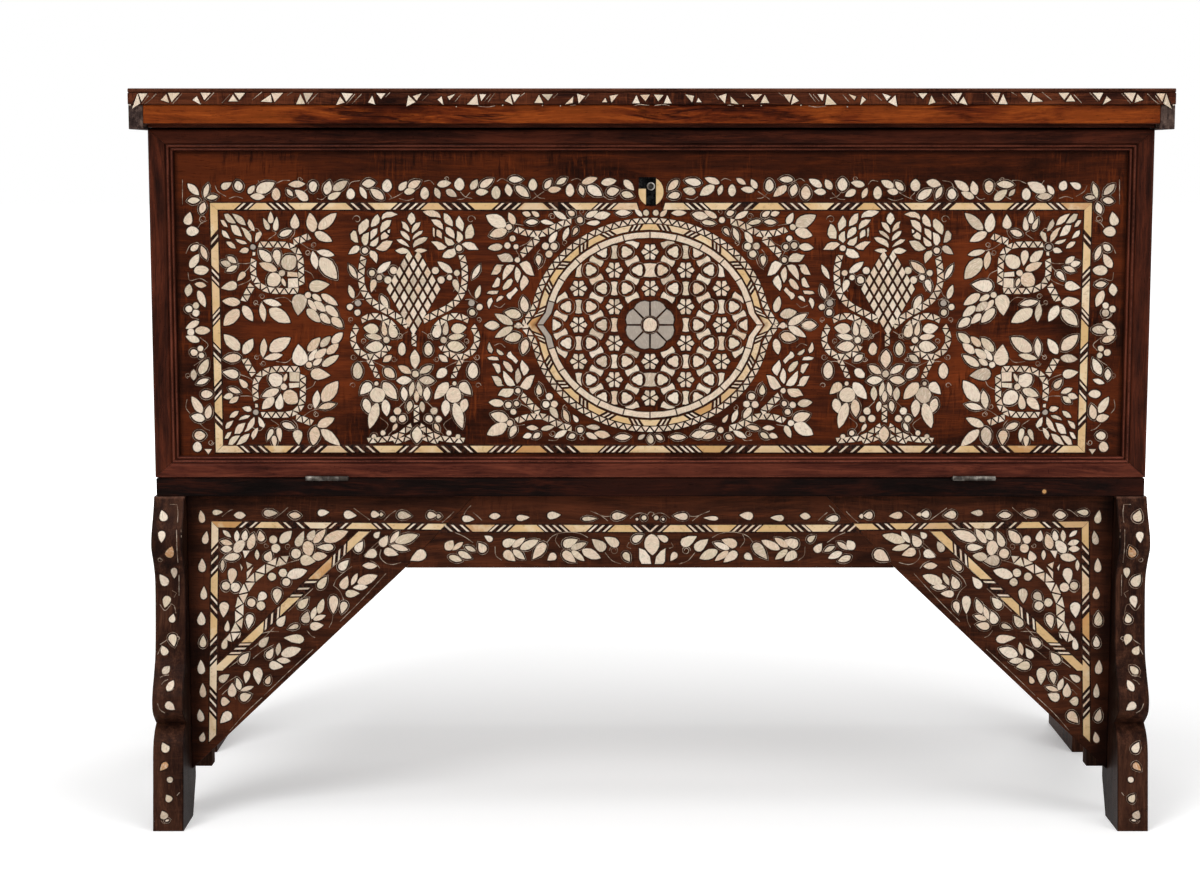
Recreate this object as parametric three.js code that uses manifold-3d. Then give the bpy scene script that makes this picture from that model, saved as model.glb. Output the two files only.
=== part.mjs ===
// An inlaid dowry chest: a box with a hinged lid and a front that falls open, on a stand with
// scalloped front legs, an apron and two bracket panels.
// Millimetres, +Z up. X runs along the front, -Y faces the viewer, and the floor is at Z = 0.

import * as THREE from 'three';
import { mergeVertices } from 'three/addons/utils/BufferGeometryUtils.js';
import Module from 'manifold-3d';

const wasm = await Module();
wasm.setup();

// Clearances
const seatGap = 0.3; // between pieces that are glued, nailed or laid on each other
const mortiseGap = 0.3; // between a let-in piece and the bottom of its mortise
const swingGap = 0.8; // between the falling front and the rail above it

// Box
const boxWidth = 1204;
const boxDepth = 500; // from the front of the mouldings to the back
const boxHeight = 449;
const sideThick = 20;
const backThick = 16;
const bottomThick = 16;
const topRailHeight = 26.3;

// Falling front
const frontThick = 20;
const mouldingProud = 8;
const mouldingPostWidth = 30; // the upright mouldings
const mouldingRailWidth = 26; // the level mouldings
const frontFootGap = 1; // joint between the front and the rail that it is hinged to

// Lid
const lidThick = 19;
const lidOverhang = 25; // in front of the box
const bandHeight = 14;
const bandThick = 2.5;
const battenThick = 19;
const battenSetback = 3; // the batten's face, behind the lid's front edge
const battenLift = 4; // the batten's lower edge, above the lower edge of the top rail
const cleatThick = 17;
const cleatDrop = 29;
const cleatClearance = 1; // between a cleat and the end of the box

// Stand
const standHeight = 425;
const standInset = 1; // the rails' ends, inside the ends of the box
const railHeight = 22;
const railDepth = 45;
const legProud = 2; // the legs' outer faces, outside the ends of the box
const legThick = 37;
const legDepthBack = 40; // the leg's straight back edge, behind the box's front
const footBackReach = 15; // the foot's back corner on the floor
const footChamferHeight = 44;
const rearLegThick = 16;
const rearLegDepth = 170;
const sideApronHeight = 100;
const apronSetback = 12;
const apronThick = 18;
const apronHeight = 90;
const bracketRun = 267; // from the leg to the upper end of the bracket's long slope
const jointRun = 86; // how far the joint of apron and bracket leans inwards on its way up
const bracketTipHeight = 60;
const backApronThick = 16;
const backApronHeight = 100;
const blockSize = 22;
const blockFootHeight = 59;

// How far the leg's front edge stands before the box: drop below the leg's top, then reach
const legShoulder = [[18, 8], [33, 17], [46, 24], [60, 25.5], [76, 16], [98, 6], [130, 6]];
// The same for the lower swell and the foot: height above the floor, then reach
const legSwell = [[216, 13], [193, 23], [172, 36], [157, 42], [142, 38]];
const legCusp = [126, 18];
const footToe = [[116, 32], [98, 42], [60, 47]];
const footFrontReach = 54; // at the floor

// Hinges
const frontHingeLength = 52;
const frontHingeInset = 209; // hinge centres, from the ends of the box
const lidHingeLength = 64;
const lidHingeInset = 202;
const barrelRadius = 3;
const barrelStand = 3.3; // pin centre, outside the faces that the hinge is set flush with
const hingePinRadius = 1.3;
const pinClearance = 0.3;
const leafThick = 1.5;
const leafWidth = 12;
const leafSplit = 0.3; // between the two closed leaves
const knuckleCount = 5;
const knuckleGap = 0.4;

// Lock
const lockWidth = 90;
const lockHeight = 104;
const lockDepth = 11.4;
const lockWall = 2;
const boltWidth = 25;
const boltThick = 5.8;
const boltLength = 46;
const boltDrop = 0.5; // the drawn-back bolt's head, below the top of the front
const boltTravel = 10;
const boltClearance = 0.3;
const strikeWidth = 62;
const strikeThick = 1.5;
const keyholeWidth = 12.2;
const keyholeHeight = 34.5;
const keyholeDepth = 57; // the keyhole's top, below the top of the front
const lostBoneHeight = 14; // the broken place beside the top of the keyhole
const escutcheonHalfWidth = 15;
const escutcheonHalfHeight = 17;
const boneThick = 1.6;
const boneProud = 0.4;
const drillPinRadius = 4.8;
const drillPinBore = 3.5;
const drillPinDrop = 11; // the pin's centre, below the keyhole's top
const drillPinReach = 9; // the pin's tip, behind the moulding's front face

// Levels and planes worked out from these
const railTop = standHeight;
const railBottom = railTop - railHeight;
const legTop = railBottom - seatGap;
const boxBottom = railTop + seatGap;
const boxTop = boxBottom + boxHeight;
const lidBottom = boxTop + seatGap;
const topRailBottom = boxTop - topRailHeight;
const frontDepth = mouldingProud + frontThick;
const frontBottom = railTop + frontFootGap;
const frontPinHeight = railTop + frontFootGap / 2;
const lidPinHeight = (boxTop + lidBottom) / 2;
// The inner top corner of the front rises as it turns about the pin, and must pass the top rail
const swingRadius = topRailBottom - swingGap - frontPinHeight;
const frontTop = frontPinHeight + Math.sqrt(swingRadius ** 2 - (frontDepth + barrelStand) ** 2);
const keyholeTop = frontTop - keyholeDepth;
const escutcheonHeight = keyholeTop - keyholeHeight / 2;
// The origin is under the middle of the whole chest, from the toes to the lid's hinge barrels
const frontY = (footFrontReach - boxDepth - barrelStand - barrelRadius) / 2;
const backY = frontY + boxDepth;
const panelY = frontY + mouldingProud;
const insideY = frontY + frontDepth;
const apronY = frontY + apronSetback;
const lidHalf = boxWidth / 2 + cleatClearance + cleatThick;
const legOuter = boxWidth / 2 + legProud;
const legInner = legOuter - legThick;
const apronHalf = legInner - bracketRun; // half of the apron's straight lower edge
const frontHingeX = boxWidth / 2 - frontHingeInset;
const lidHingeX = boxWidth / 2 - lidHingeInset;
const hands = [['left', -1], ['right', 1]];

const wood = (color, roughness = 0.55) => new THREE.MeshStandardMaterial({ color, roughness });
const finish = {
  panel: wood(0x5c2a17),
  dark: wood(0x3a1a12),
  batten: wood(0x874020),
  raw: wood(0x6b4a35, 0.8),
  inside: wood(0x7a5335, 0.7),
  iron: new THREE.MeshStandardMaterial({ color: 0x8a857c, roughness: 0.45, metalness: 0.9 }),
  bone: new THREE.MeshStandardMaterial({ color: 0xe2c48c, roughness: 0.4 }),
};

const chest = new THREE.Group();
chest.name = 'inlaid_dowry_chest';

function add(name, geometry, material, place = {}) {
  const mesh = new THREE.Mesh(geometry, material);
  mesh.name = name;
  mesh.position.set(place.x ?? 0, place.y ?? 0, place.z ?? 0);
  mesh.rotation.set(place.turnX ?? 0, 0, place.turnZ ?? 0);
  chest.add(mesh);
  return mesh;
}

// A block between two values on each axis
function block([x0, x1], [y0, y1], [z0, z1]) {
  const shape = new THREE.BoxGeometry(Math.abs(x1 - x0), y1 - y0, z1 - z0);
  return shape.translate((x0 + x1) / 2, (y0 + y1) / 2, (z0 + z1) / 2);
}

// A flat outline in X and Z, given thickness from its front plane backwards
function panelFromOutline(shape, front, thickness, curveSegments = 12) {
  const slab = new THREE.ExtrudeGeometry(shape, { depth: thickness, bevelEnabled: false, curveSegments });
  return slab.rotateX(Math.PI / 2).translate(0, front + thickness, 0);
}

// A flat outline in Y and Z, given thickness along X
function boardFromSide(shape, fromX, thickness, curveSegments = 3) {
  const slab = new THREE.ExtrudeGeometry(shape, { depth: thickness, bevelEnabled: false, curveSegments });
  const turn = new THREE.Matrix4().makeBasis(
    new THREE.Vector3(0, 1, 0),
    new THREE.Vector3(0, 0, 1),
    new THREE.Vector3(1, 0, 0),
  );
  return slab.applyMatrix4(turn).translate(fromX, 0, 0);
}

// A round bar along X
function barX(radius, length, sides = 20) {
  return new THREE.CylinderGeometry(radius, radius, length, sides).rotateZ(Math.PI / 2);
}

function toSolid(geometry) {
  const bare = geometry.index ? geometry.toNonIndexed() : geometry.clone();
  bare.deleteAttribute('normal');
  bare.deleteAttribute('uv');
  const welded = mergeVertices(bare, 1e-4);
  return new wasm.Manifold(new wasm.Mesh({
    numProp: 3,
    vertProperties: new Float32Array(welded.attributes.position.array),
    triVerts: new Uint32Array(welded.index.array),
  }));
}

function toGeometry(solid) {
  const mesh = solid.getMesh();
  const geometry = new THREE.BufferGeometry();
  geometry.setAttribute('position', new THREE.BufferAttribute(mesh.vertProperties, 3));
  geometry.setIndex(new THREE.BufferAttribute(mesh.triVerts, 1));
  geometry.computeVertexNormals();
  return geometry;
}

// One geometry with others joined to it and others cut away
function carve(base, { joined = [], cut = [] }) {
  let solid = toSolid(base);
  for (const piece of joined) solid = solid.add(toSolid(piece));
  for (const piece of cut) solid = solid.subtract(toSolid(piece));
  return toGeometry(solid);
}

// The flat mortise of a hinge leaf, along X at the hinge's middle and from one face inwards
function leafMortise(middleX, length, [y0, y1], [z0, z1]) {
  const half = length / 2 + mortiseGap;
  return block([middleX - half, middleX + half], [y0, y1], [z0, z1]);
}

// Box: two ends, a back, a bottom and the rail above the falling front
function buildBox() {
  const inner = boxWidth / 2 - sideThick;
  for (const [side, hand] of hands) {
    const spanX = hand < 0 ? [-boxWidth / 2, -inner] : [inner, boxWidth / 2];
    add(`${side}_side`, block(spanX, [insideY + seatGap, backY], [boxBottom, boxTop]), finish.panel);
  }
  const backFront = backY - backThick;
  const mortiseFloor = lidPinHeight - leafSplit / 2 - leafThick - mortiseGap;
  const backCuts = hands.map(([, hand]) => leafMortise(
    hand * lidHingeX, lidHingeLength, [backY - leafWidth - mortiseGap, backY + 1], [mortiseFloor, boxTop + 1],
  ));
  const back = block([-inner + seatGap, inner - seatGap], [backFront, backY], [boxBottom, boxTop]);
  add('back_panel', carve(back, { cut: backCuts }), finish.inside);
  add('bottom_board', block(
    [-inner + seatGap, inner - seatGap], [insideY + seatGap, backFront - seatGap],
    [boxBottom, boxBottom + bottomThick],
  ), finish.inside);
}

// The rail that the front shuts against, with the strike that takes the lock's bolt
function buildTopRail() {
  const [boltFront, boltBack] = boltSpanY();
  const socketX = boltWidth / 2 + 2 * boltClearance;
  const strikeFront = boltFront - 4;
  const socket = block(
    [-socketX, socketX], [boltFront - boltClearance, boltBack + boltClearance],
    [topRailBottom - 1, topRailBottom + boltTravel + 4],
  );
  const seatX = strikeWidth / 2 + mortiseGap;
  const strikeSeat = block(
    [-seatX, seatX], [strikeFront - mortiseGap, insideY + 1],
    [topRailBottom - 1, topRailBottom + strikeThick + mortiseGap],
  );
  const rail = block([-boxWidth / 2, boxWidth / 2], [frontY, insideY], [topRailBottom, boxTop]);
  add('top_rail', carve(rail, { cut: [socket, strikeSeat] }), finish.dark);
  const plate = block(
    [-strikeWidth / 2, strikeWidth / 2], [strikeFront, insideY], [topRailBottom, topRailBottom + strikeThick],
  );
  add('strike_plate', carve(plate, { cut: [socket] }), finish.iron);
}

function boltSpanY() {
  const front = insideY - lockDepth + lockWall + boltClearance;
  return [front, front + boltThick];
}

// A moulding across the section: distance from its outer edge, then height, for a width of 1
function mouldingProfile() {
  const points = [[0, 0], [0, 0.8], [0.04, 0.95], [0.12, 1], [0.55, 1], [0.63, 0.9], [0.67, 0.72]];
  for (const [start, width, top] of [[0.69, 0.14, 0.95], [0.845, 0.14, 0.72]]) {
    for (let i = 0; i <= 4; i += 1) {
      const angle = (Math.PI * i) / 4;
      points.push([start + (width * (1 - Math.cos(angle))) / 2, top - 0.25 * (1 - Math.sin(angle))]);
    }
  }
  points.push([1, 0.3], [1, 0]);
  return points;
}

// A bar of that section with both ends mitred; it runs along X, its outer edge is at Z = 0,
// its inner edge at Z = width, and it stands towards -Y
function mitredMoulding(length, width, mitre) {
  const profile = mouldingProfile();
  const positions = [];
  const corner = (end, [across, height]) => {
    const x = end * (length / 2 - across * mitre - seatGap / 2);
    return [x, -height * (mouldingProud - seatGap), across * width];
  };
  const triangle = (a, b, c) => positions.push(...a, ...b, ...c);
  profile.forEach((point, i) => {
    const next = profile[(i + 1) % profile.length];
    triangle(corner(-1, point), corner(1, point), corner(1, next));
    triangle(corner(-1, point), corner(1, next), corner(-1, next));
  });
  const outline = profile.map(([across, height]) => new THREE.Vector2(across, height));
  for (const [a, b, c] of THREE.ShapeUtils.triangulateShape(outline, [])) {
    triangle(corner(1, profile[a]), corner(1, profile[b]), corner(1, profile[c]));
    triangle(corner(-1, profile[c]), corner(-1, profile[b]), corner(-1, profile[a]));
  }
  const geometry = new THREE.BufferGeometry();
  geometry.setAttribute('position', new THREE.Float32BufferAttribute(positions, 3));
  geometry.computeVertexNormals();
  return geometry;
}

// Falling front: a board with a mitred moulding round it, mortised for its hinges and its lock
function buildFront() {
  const height = frontTop - frontBottom;
  const mouldingBack = panelY - seatGap;
  const leafTop = frontPinHeight + leafSplit / 2 + leafThick + mortiseGap;
  const leafCuts = hands.map(([, hand]) => leafMortise(
    hand * frontHingeX, frontHingeLength,
    [frontY - mouldingProud, frontY + leafWidth + mortiseGap], [frontBottom - 1, leafTop],
  ));
  const board = block([-boxWidth / 2, boxWidth / 2], [panelY, insideY], [frontBottom, frontTop]);
  add('front_panel', carve(board, { cut: [...leafCuts, ...keyholeCuts(), lockPocket()] }), finish.panel);

  const rail = mitredMoulding(boxWidth, mouldingRailWidth, mouldingPostWidth);
  const post = mitredMoulding(height, mouldingPostWidth, mouldingRailWidth);
  const lower = rail.clone().translate(0, mouldingBack, frontBottom);
  add('moulding_bottom', carve(lower, { cut: leafCuts }), finish.dark);
  const upper = rail.clone().rotateY(Math.PI).translate(0, mouldingBack, frontTop);
  add('moulding_top', upper, finish.dark);
  for (const [side, hand] of hands) {
    const upright = post.clone().rotateY((-hand * Math.PI) / 2);
    upright.translate((hand * boxWidth) / 2, mouldingBack, (frontBottom + frontTop) / 2);
    add(`moulding_${side}`, upright, finish.dark);
  }
}

// The pocket behind the front that takes the lock, open above and inside
function lockPocket() {
  const half = lockWidth / 2 + mortiseGap;
  return block(
    [-half, half], [insideY - lockDepth - mortiseGap, insideY + 1],
    [frontTop - lockHeight - mortiseGap, frontTop + 1],
  );
}

// The key's slot, the broken place beside it and the shallow oval seat of the bone plates
function keyholeCuts() {
  const half = keyholeWidth / 2;
  const through = [panelY - 1, insideY - lockDepth];
  const slot = block([-half, half], through, [keyholeTop - keyholeHeight, keyholeTop]);
  const broken = block([-escutcheonHalfWidth, 0], through, [keyholeTop - lostBoneHeight, keyholeTop]);
  const oval = new THREE.Shape().absellipse(
    0, escutcheonHeight, escutcheonHalfWidth + mortiseGap, escutcheonHalfHeight + mortiseGap, 0, 2 * Math.PI,
  );
  const seatDepth = boneThick - boneProud + mortiseGap;
  const seat = panelFromOutline(oval, panelY - 1, seatDepth + 1, 32);
  return [slot, broken, seat];
}

// Two bone plates, one on each side of the keyhole; the left one has lost its upper half
function buildEscutcheon() {
  const front = panelY - boneProud;
  const chordX = keyholeWidth / 2;
  const chordAngle = Math.acos(chordX / escutcheonHalfWidth);
  const lossHeight = keyholeTop - lostBoneHeight - escutcheonHeight;
  const lossAngle = Math.asin(lossHeight / escutcheonHalfHeight);
  const right = new THREE.Shape();
  right.absellipse(0, escutcheonHeight, escutcheonHalfWidth, escutcheonHalfHeight, -chordAngle, chordAngle);
  add('escutcheon_right', panelFromOutline(right, front, boneThick), finish.bone);
  const left = new THREE.Shape();
  left.moveTo(-chordX, escutcheonHeight + lossHeight);
  left.lineTo(-Math.cos(lossAngle) * escutcheonHalfWidth, escutcheonHeight + lossHeight);
  left.absellipse(
    0, escutcheonHeight, escutcheonHalfWidth, escutcheonHalfHeight, Math.PI - lossAngle, Math.PI + chordAngle,
  );
  add('escutcheon_left', panelFromOutline(left, front, boneThick), finish.bone);
}

// Lock: a case let into the front, a hollow drill pin for the key and a bolt that rises
function buildLock() {
  const half = lockWidth / 2;
  const caseFront = insideY - lockDepth;
  const [boltFront, boltBack] = boltSpanY();
  const caseTop = frontTop - seatGap;
  const body = block([-half, half], [caseFront, insideY], [frontTop - lockHeight, caseTop]);
  const cavityBack = insideY - lockWall;
  const cavity = block(
    [-half + lockWall, half - lockWall], [caseFront + lockWall, cavityBack],
    [frontTop - lockHeight + lockWall, caseTop - lockWall],
  );
  const slotX = boltWidth / 2 + boltClearance;
  const boltSlot = block(
    [-slotX, slotX], [boltFront - boltClearance, boltBack + boltClearance],
    [caseTop - lockWall - 1, caseTop + 1],
  );
  const keySlot = block(
    [-keyholeWidth / 2, keyholeWidth / 2], [caseFront - 1, caseFront + lockWall + 1],
    [keyholeTop - keyholeHeight, keyholeTop],
  );
  add('lock_case', carve(body, { cut: [cavity, boltSlot, keySlot] }), finish.iron);

  const boltTop = frontTop - boltDrop;
  add('lock_bolt', block(
    [-boltWidth / 2, boltWidth / 2], [boltFront, boltBack], [boltTop - boltLength, boltTop],
  ), finish.iron);

  const tip = frontY + drillPinReach;
  const root = cavityBack - seatGap;
  const section = [[0, 0], [drillPinRadius, 0], [drillPinRadius, root - tip], [drillPinBore, root - tip]];
  section.push([drillPinBore, lockWall], [0, lockWall]);
  const tube = new THREE.LatheGeometry(section.map(([r, along]) => new THREE.Vector2(r, along)), 24);
  add('drill_pin', tube.rotateX(Math.PI), finish.iron, { y: root, z: keyholeTop - drillPinDrop });
}

// Lid: a board with a let-in band along its front edge, a batten under it and two end cleats
function buildLid() {
  const half = lidHalf;
  const lidFront = frontY - lidOverhang;
  const lidTop = lidBottom + lidThick;
  const bandTop = lidBottom + bandHeight;
  const rebate = block(
    [-half - 1, half + 1], [lidFront - 1, lidFront + bandThick + mortiseGap],
    [lidBottom - 1, bandTop + mortiseGap],
  );
  const leafTop = lidPinHeight + leafSplit / 2 + leafThick + mortiseGap;
  const leafCuts = hands.map(([, hand]) => leafMortise(
    hand * lidHingeX, lidHingeLength, [backY - leafWidth - mortiseGap, backY + 1], [lidBottom - 1, leafTop],
  ));
  const board = block([-half, half], [lidFront, backY], [lidBottom, lidTop]);
  add('lid_board', carve(board, { cut: [rebate, ...leafCuts] }), finish.panel);
  add('lid_edge_band', block(
    [-half, half], [lidFront, lidFront + bandThick], [lidBottom, bandTop],
  ), finish.dark);

  const battenFront = lidFront + battenSetback;
  const cleatInner = half - cleatThick;
  add('lid_batten', block(
    [-cleatInner + seatGap, cleatInner - seatGap], [battenFront, battenFront + battenThick],
    [topRailBottom + battenLift, lidBottom - seatGap],
  ), finish.batten);
  for (const [side, hand] of hands) {
    const spanX = hand < 0 ? [-half, -cleatInner] : [cleatInner, half];
    add(`lid_${side}_cleat`, block(
      spanX, [lidFront + bandThick, backY], [lidBottom - cleatDrop, lidBottom - seatGap],
    ), finish.dark);
  }
}

// One leaf of a butt hinge about the X axis; its plate lies towards +Y, below the pin when
// layer is -1 and above it when layer is 1, and it owns every second knuckle
function hingeLeaf(length, layer) {
  const pitch = length / knuckleCount;
  const inner = (layer * leafSplit) / 2;
  const outer = inner + layer * leafThick;
  const spanZ = [Math.min(inner, outer), Math.max(inner, outer)];
  const plateStart = barrelStand + seatGap;
  const plate = block([-length / 2, length / 2], [plateStart, barrelStand + leafWidth], spanZ);
  const joined = [];
  for (let i = layer < 0 ? 0 : 1; i < knuckleCount; i += 2) {
    const middle = -length / 2 + pitch * (i + 0.5);
    const half = (pitch - knuckleGap) / 2;
    joined.push(barX(barrelRadius, 2 * half).translate(middle, 0, 0));
    joined.push(block([middle - half, middle + half], [hingePinRadius, plateStart + 1], spanZ));
  }
  return carve(plate, { joined, cut: [barX(hingePinRadius + pinClearance, length + 2)] });
}

function buildHinge(name, length, place) {
  add(`${name}_fixed_leaf`, hingeLeaf(length, -1), finish.iron, place);
  add(`${name}_moving_leaf`, hingeLeaf(length, 1), finish.iron, place);
  add(`${name}_pin`, barX(hingePinRadius, length), finish.iron, place);
}

function buildHinges() {
  for (const [side, hand] of hands) {
    buildHinge(`front_hinge_${side}`, frontHingeLength, {
      x: hand * frontHingeX, y: frontY - barrelStand, z: frontPinHeight,
    });
    buildHinge(`lid_hinge_${side}`, lidHingeLength, {
      x: hand * lidHingeX, y: backY + barrelStand, z: lidPinHeight, turnZ: Math.PI,
    });
  }
}

// Stand: a frame of four rails under the box
function buildRails() {
  const half = boxWidth / 2 - standInset;
  const level = [railBottom, railTop];
  const mortiseFloor = frontPinHeight - leafSplit / 2 - leafThick - mortiseGap;
  const leafCuts = hands.map(([, hand]) => leafMortise(
    hand * frontHingeX, frontHingeLength, [frontY - 1, frontY + leafWidth + mortiseGap],
    [mortiseFloor, railTop + 1],
  ));
  const front = block([-half, half], [frontY, frontY + railDepth], level);
  add('front_base_rail', carve(front, { cut: leafCuts }), finish.dark);
  add('back_base_rail', block([-half, half], [backY - railDepth, backY], level), finish.dark);
  for (const [side, hand] of hands) {
    const spanX = hand < 0 ? [-half, -half + railDepth] : [half - railDepth, half];
    const spanY = [frontY + railDepth + seatGap, backY - railDepth - seatGap];
    add(`${side}_base_rail`, block(spanX, spanY, level), finish.dark);
  }
}

// A front leg from the side: a shoulder, a waist, a swell that ends in a sharp cusp, and a foot
function frontLegOutline() {
  const ahead = (reach) => frontY - reach;
  const back = frontY + legDepthBack;
  const shape = new THREE.Shape();
  shape.moveTo(back, footChamferHeight);
  shape.lineTo(back, legTop);
  shape.lineTo(frontY, legTop);
  const upper = legShoulder.map(([drop, reach]) => new THREE.Vector2(ahead(reach), legTop - drop));
  const lower = [...legSwell, legCusp].map(([height, reach]) => new THREE.Vector2(ahead(reach), height));
  shape.splineThru([...upper, ...lower]);
  const toe = footToe.map(([height, reach]) => new THREE.Vector2(ahead(reach), height));
  shape.splineThru([...toe, new THREE.Vector2(ahead(footFrontReach), 0)]);
  shape.lineTo(frontY + footBackReach, 0);
  shape.closePath();
  return shape;
}

// Legs, side aprons and the glue blocks in the stand's corners
function buildLegs() {
  const outer = legOuter;
  const rearFront = backY - rearLegDepth;
  const rearInner = outer - rearLegThick;
  const blockTop = railBottom - seatGap;
  for (const [side, hand] of hands) {
    const across = (a, b) => (hand < 0 ? [-b, -a] : [a, b]);
    const fromX = hand < 0 ? -outer : outer - legThick;
    add(`${side}_front_leg`, boardFromSide(frontLegOutline(), fromX, legThick), finish.dark);
    add(`${side}_rear_leg`, block(across(rearInner, outer), [rearFront, backY], [0, legTop]), finish.dark);
    add(`${side}_side_apron`, block(
      across(rearInner, outer), [frontY + legDepthBack + seatGap, rearFront - seatGap],
      [legTop - sideApronHeight, legTop],
    ), finish.dark);
    const frontBlockY = apronY + apronThick + seatGap;
    add(`${side}_front_block`, block(
      across(legInner - blockSize - seatGap, legInner - seatGap), [frontBlockY, frontBlockY + blockSize],
      [blockFootHeight, blockTop],
    ), finish.raw);
    const rearBlockY = backY - backApronThick - seatGap;
    add(`${side}_rear_block`, block(
      across(rearInner - blockSize - seatGap, rearInner - seatGap), [rearBlockY - blockSize, rearBlockY],
      [blockFootHeight, blockTop],
    ), finish.raw);
  }
}

// Apron across the front, a bracket panel in each corner and a plain apron at the back
function buildAprons() {
  const top = railBottom - seatGap;
  const bottom = top - apronHeight;
  const edgeX = legInner - seatGap;
  const half = seatGap / 2;
  const jointTop = apronHalf - jointRun;
  const centre = new THREE.Shape([
    new THREE.Vector2(-apronHalf + half, bottom), new THREE.Vector2(apronHalf - half, bottom),
    new THREE.Vector2(jointTop - half, top), new THREE.Vector2(-jointTop + half, top),
  ]);
  add('centre_apron', panelFromOutline(centre, apronY, apronThick), finish.panel);
  for (const [side, hand] of hands) {
    const outline = [
      [apronHalf + half, bottom], [edgeX, bracketTipHeight], [edgeX, top], [jointTop + half, top],
    ];
    const bracket = new THREE.Shape(outline.map(([x, z]) => new THREE.Vector2(hand * x, z)));
    add(`${side}_bracket`, panelFromOutline(bracket, apronY, apronThick), finish.panel);
  }
  const inner = legOuter - rearLegThick - seatGap;
  add('back_apron', block(
    [-inner, inner], [backY - backApronThick, backY], [top - backApronHeight, top],
  ), finish.dark);
}

buildBox();
buildTopRail();
buildFront();
buildEscutcheon();
buildLock();
buildLid();
buildHinges();
buildRails();
buildLegs();
buildAprons();

export default chest;
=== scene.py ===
import math

import bpy
import numpy as np
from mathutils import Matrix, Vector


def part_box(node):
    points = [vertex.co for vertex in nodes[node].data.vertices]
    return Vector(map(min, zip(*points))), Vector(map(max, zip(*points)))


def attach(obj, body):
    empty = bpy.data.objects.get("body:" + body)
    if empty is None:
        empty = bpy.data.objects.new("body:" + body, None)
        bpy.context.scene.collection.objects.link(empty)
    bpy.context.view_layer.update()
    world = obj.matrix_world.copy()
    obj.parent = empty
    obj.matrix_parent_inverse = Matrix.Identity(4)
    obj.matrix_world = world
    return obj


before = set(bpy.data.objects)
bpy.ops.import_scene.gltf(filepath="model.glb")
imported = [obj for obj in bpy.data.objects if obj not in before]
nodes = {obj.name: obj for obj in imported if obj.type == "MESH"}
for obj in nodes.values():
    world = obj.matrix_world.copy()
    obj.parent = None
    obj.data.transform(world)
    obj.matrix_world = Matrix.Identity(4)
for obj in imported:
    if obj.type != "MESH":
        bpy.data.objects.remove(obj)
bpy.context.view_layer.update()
mm = 0.001
print("frame loaded:", len(nodes), "pieces")


# The camera stands where it stood for the photograph, whose pixels give the inlay its places.
view = dict(
    size=(1200, 879),
    middle=(600, 440),
    reach=2357,  # focal length in pixels
    place=(-0.0613, -3.06615, 0.8098),
    dip=math.radians(6.77),  # downward tilt
    film=36,  # millimetres
    far=60,
)


def toPlane(pixels, y):
    # where rays through the pixels meet the upright plane at that y: x and z there
    across, down = ((np.asarray(pixels, float) - view["middle"]) / view["reach"]).T
    c, s = math.cos(view["dip"]), math.sin(view["dip"])
    far = (y - view["place"][1]) / (c - down * s)
    return np.stack([view["place"][0] + far * across, view["place"][2] - far * (s + down * c)], 1)


def addCamera():
    data = bpy.data.cameras.new("camera")
    data.sensor_width = view["film"]
    data.lens = view["film"] * view["reach"] / view["size"][0]
    data.clip_end = view["far"]
    camera = bpy.data.objects.new("camera", data)
    camera.location = view["place"]
    camera.rotation_euler = (math.pi / 2 - view["dip"], 0, 0)
    bpy.context.scene.collection.objects.link(camera)
    bpy.context.scene.camera = camera


addCamera()
print("camera placed")


class Field:
    # one shader socket; arithmetic on it adds the Math nodes
    def __init__(self, paint, socket):
        self.paint, self.socket = paint, socket

    def apply(self, how, first, second=0.0):
        return self.paint.node("ShaderNodeMath", dict(operation=how), {0: first, 1: second})

    def __add__(self, other):
        return self.apply("ADD", self, other)

    def __radd__(self, other):
        return self.apply("ADD", other, self)

    def __sub__(self, other):
        return self.apply("SUBTRACT", self, other)

    def __rsub__(self, other):
        return self.apply("SUBTRACT", other, self)

    def __mul__(self, other):
        return self.apply("MULTIPLY", self, other)

    def __rmul__(self, other):
        return self.apply("MULTIPLY", other, self)

    def most(self, other):
        return self.apply("MAXIMUM", self, other)

    def least(self, other):
        return self.apply("MINIMUM", self, other)

    def size(self):
        return self.apply("ABSOLUTE", self)


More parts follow.
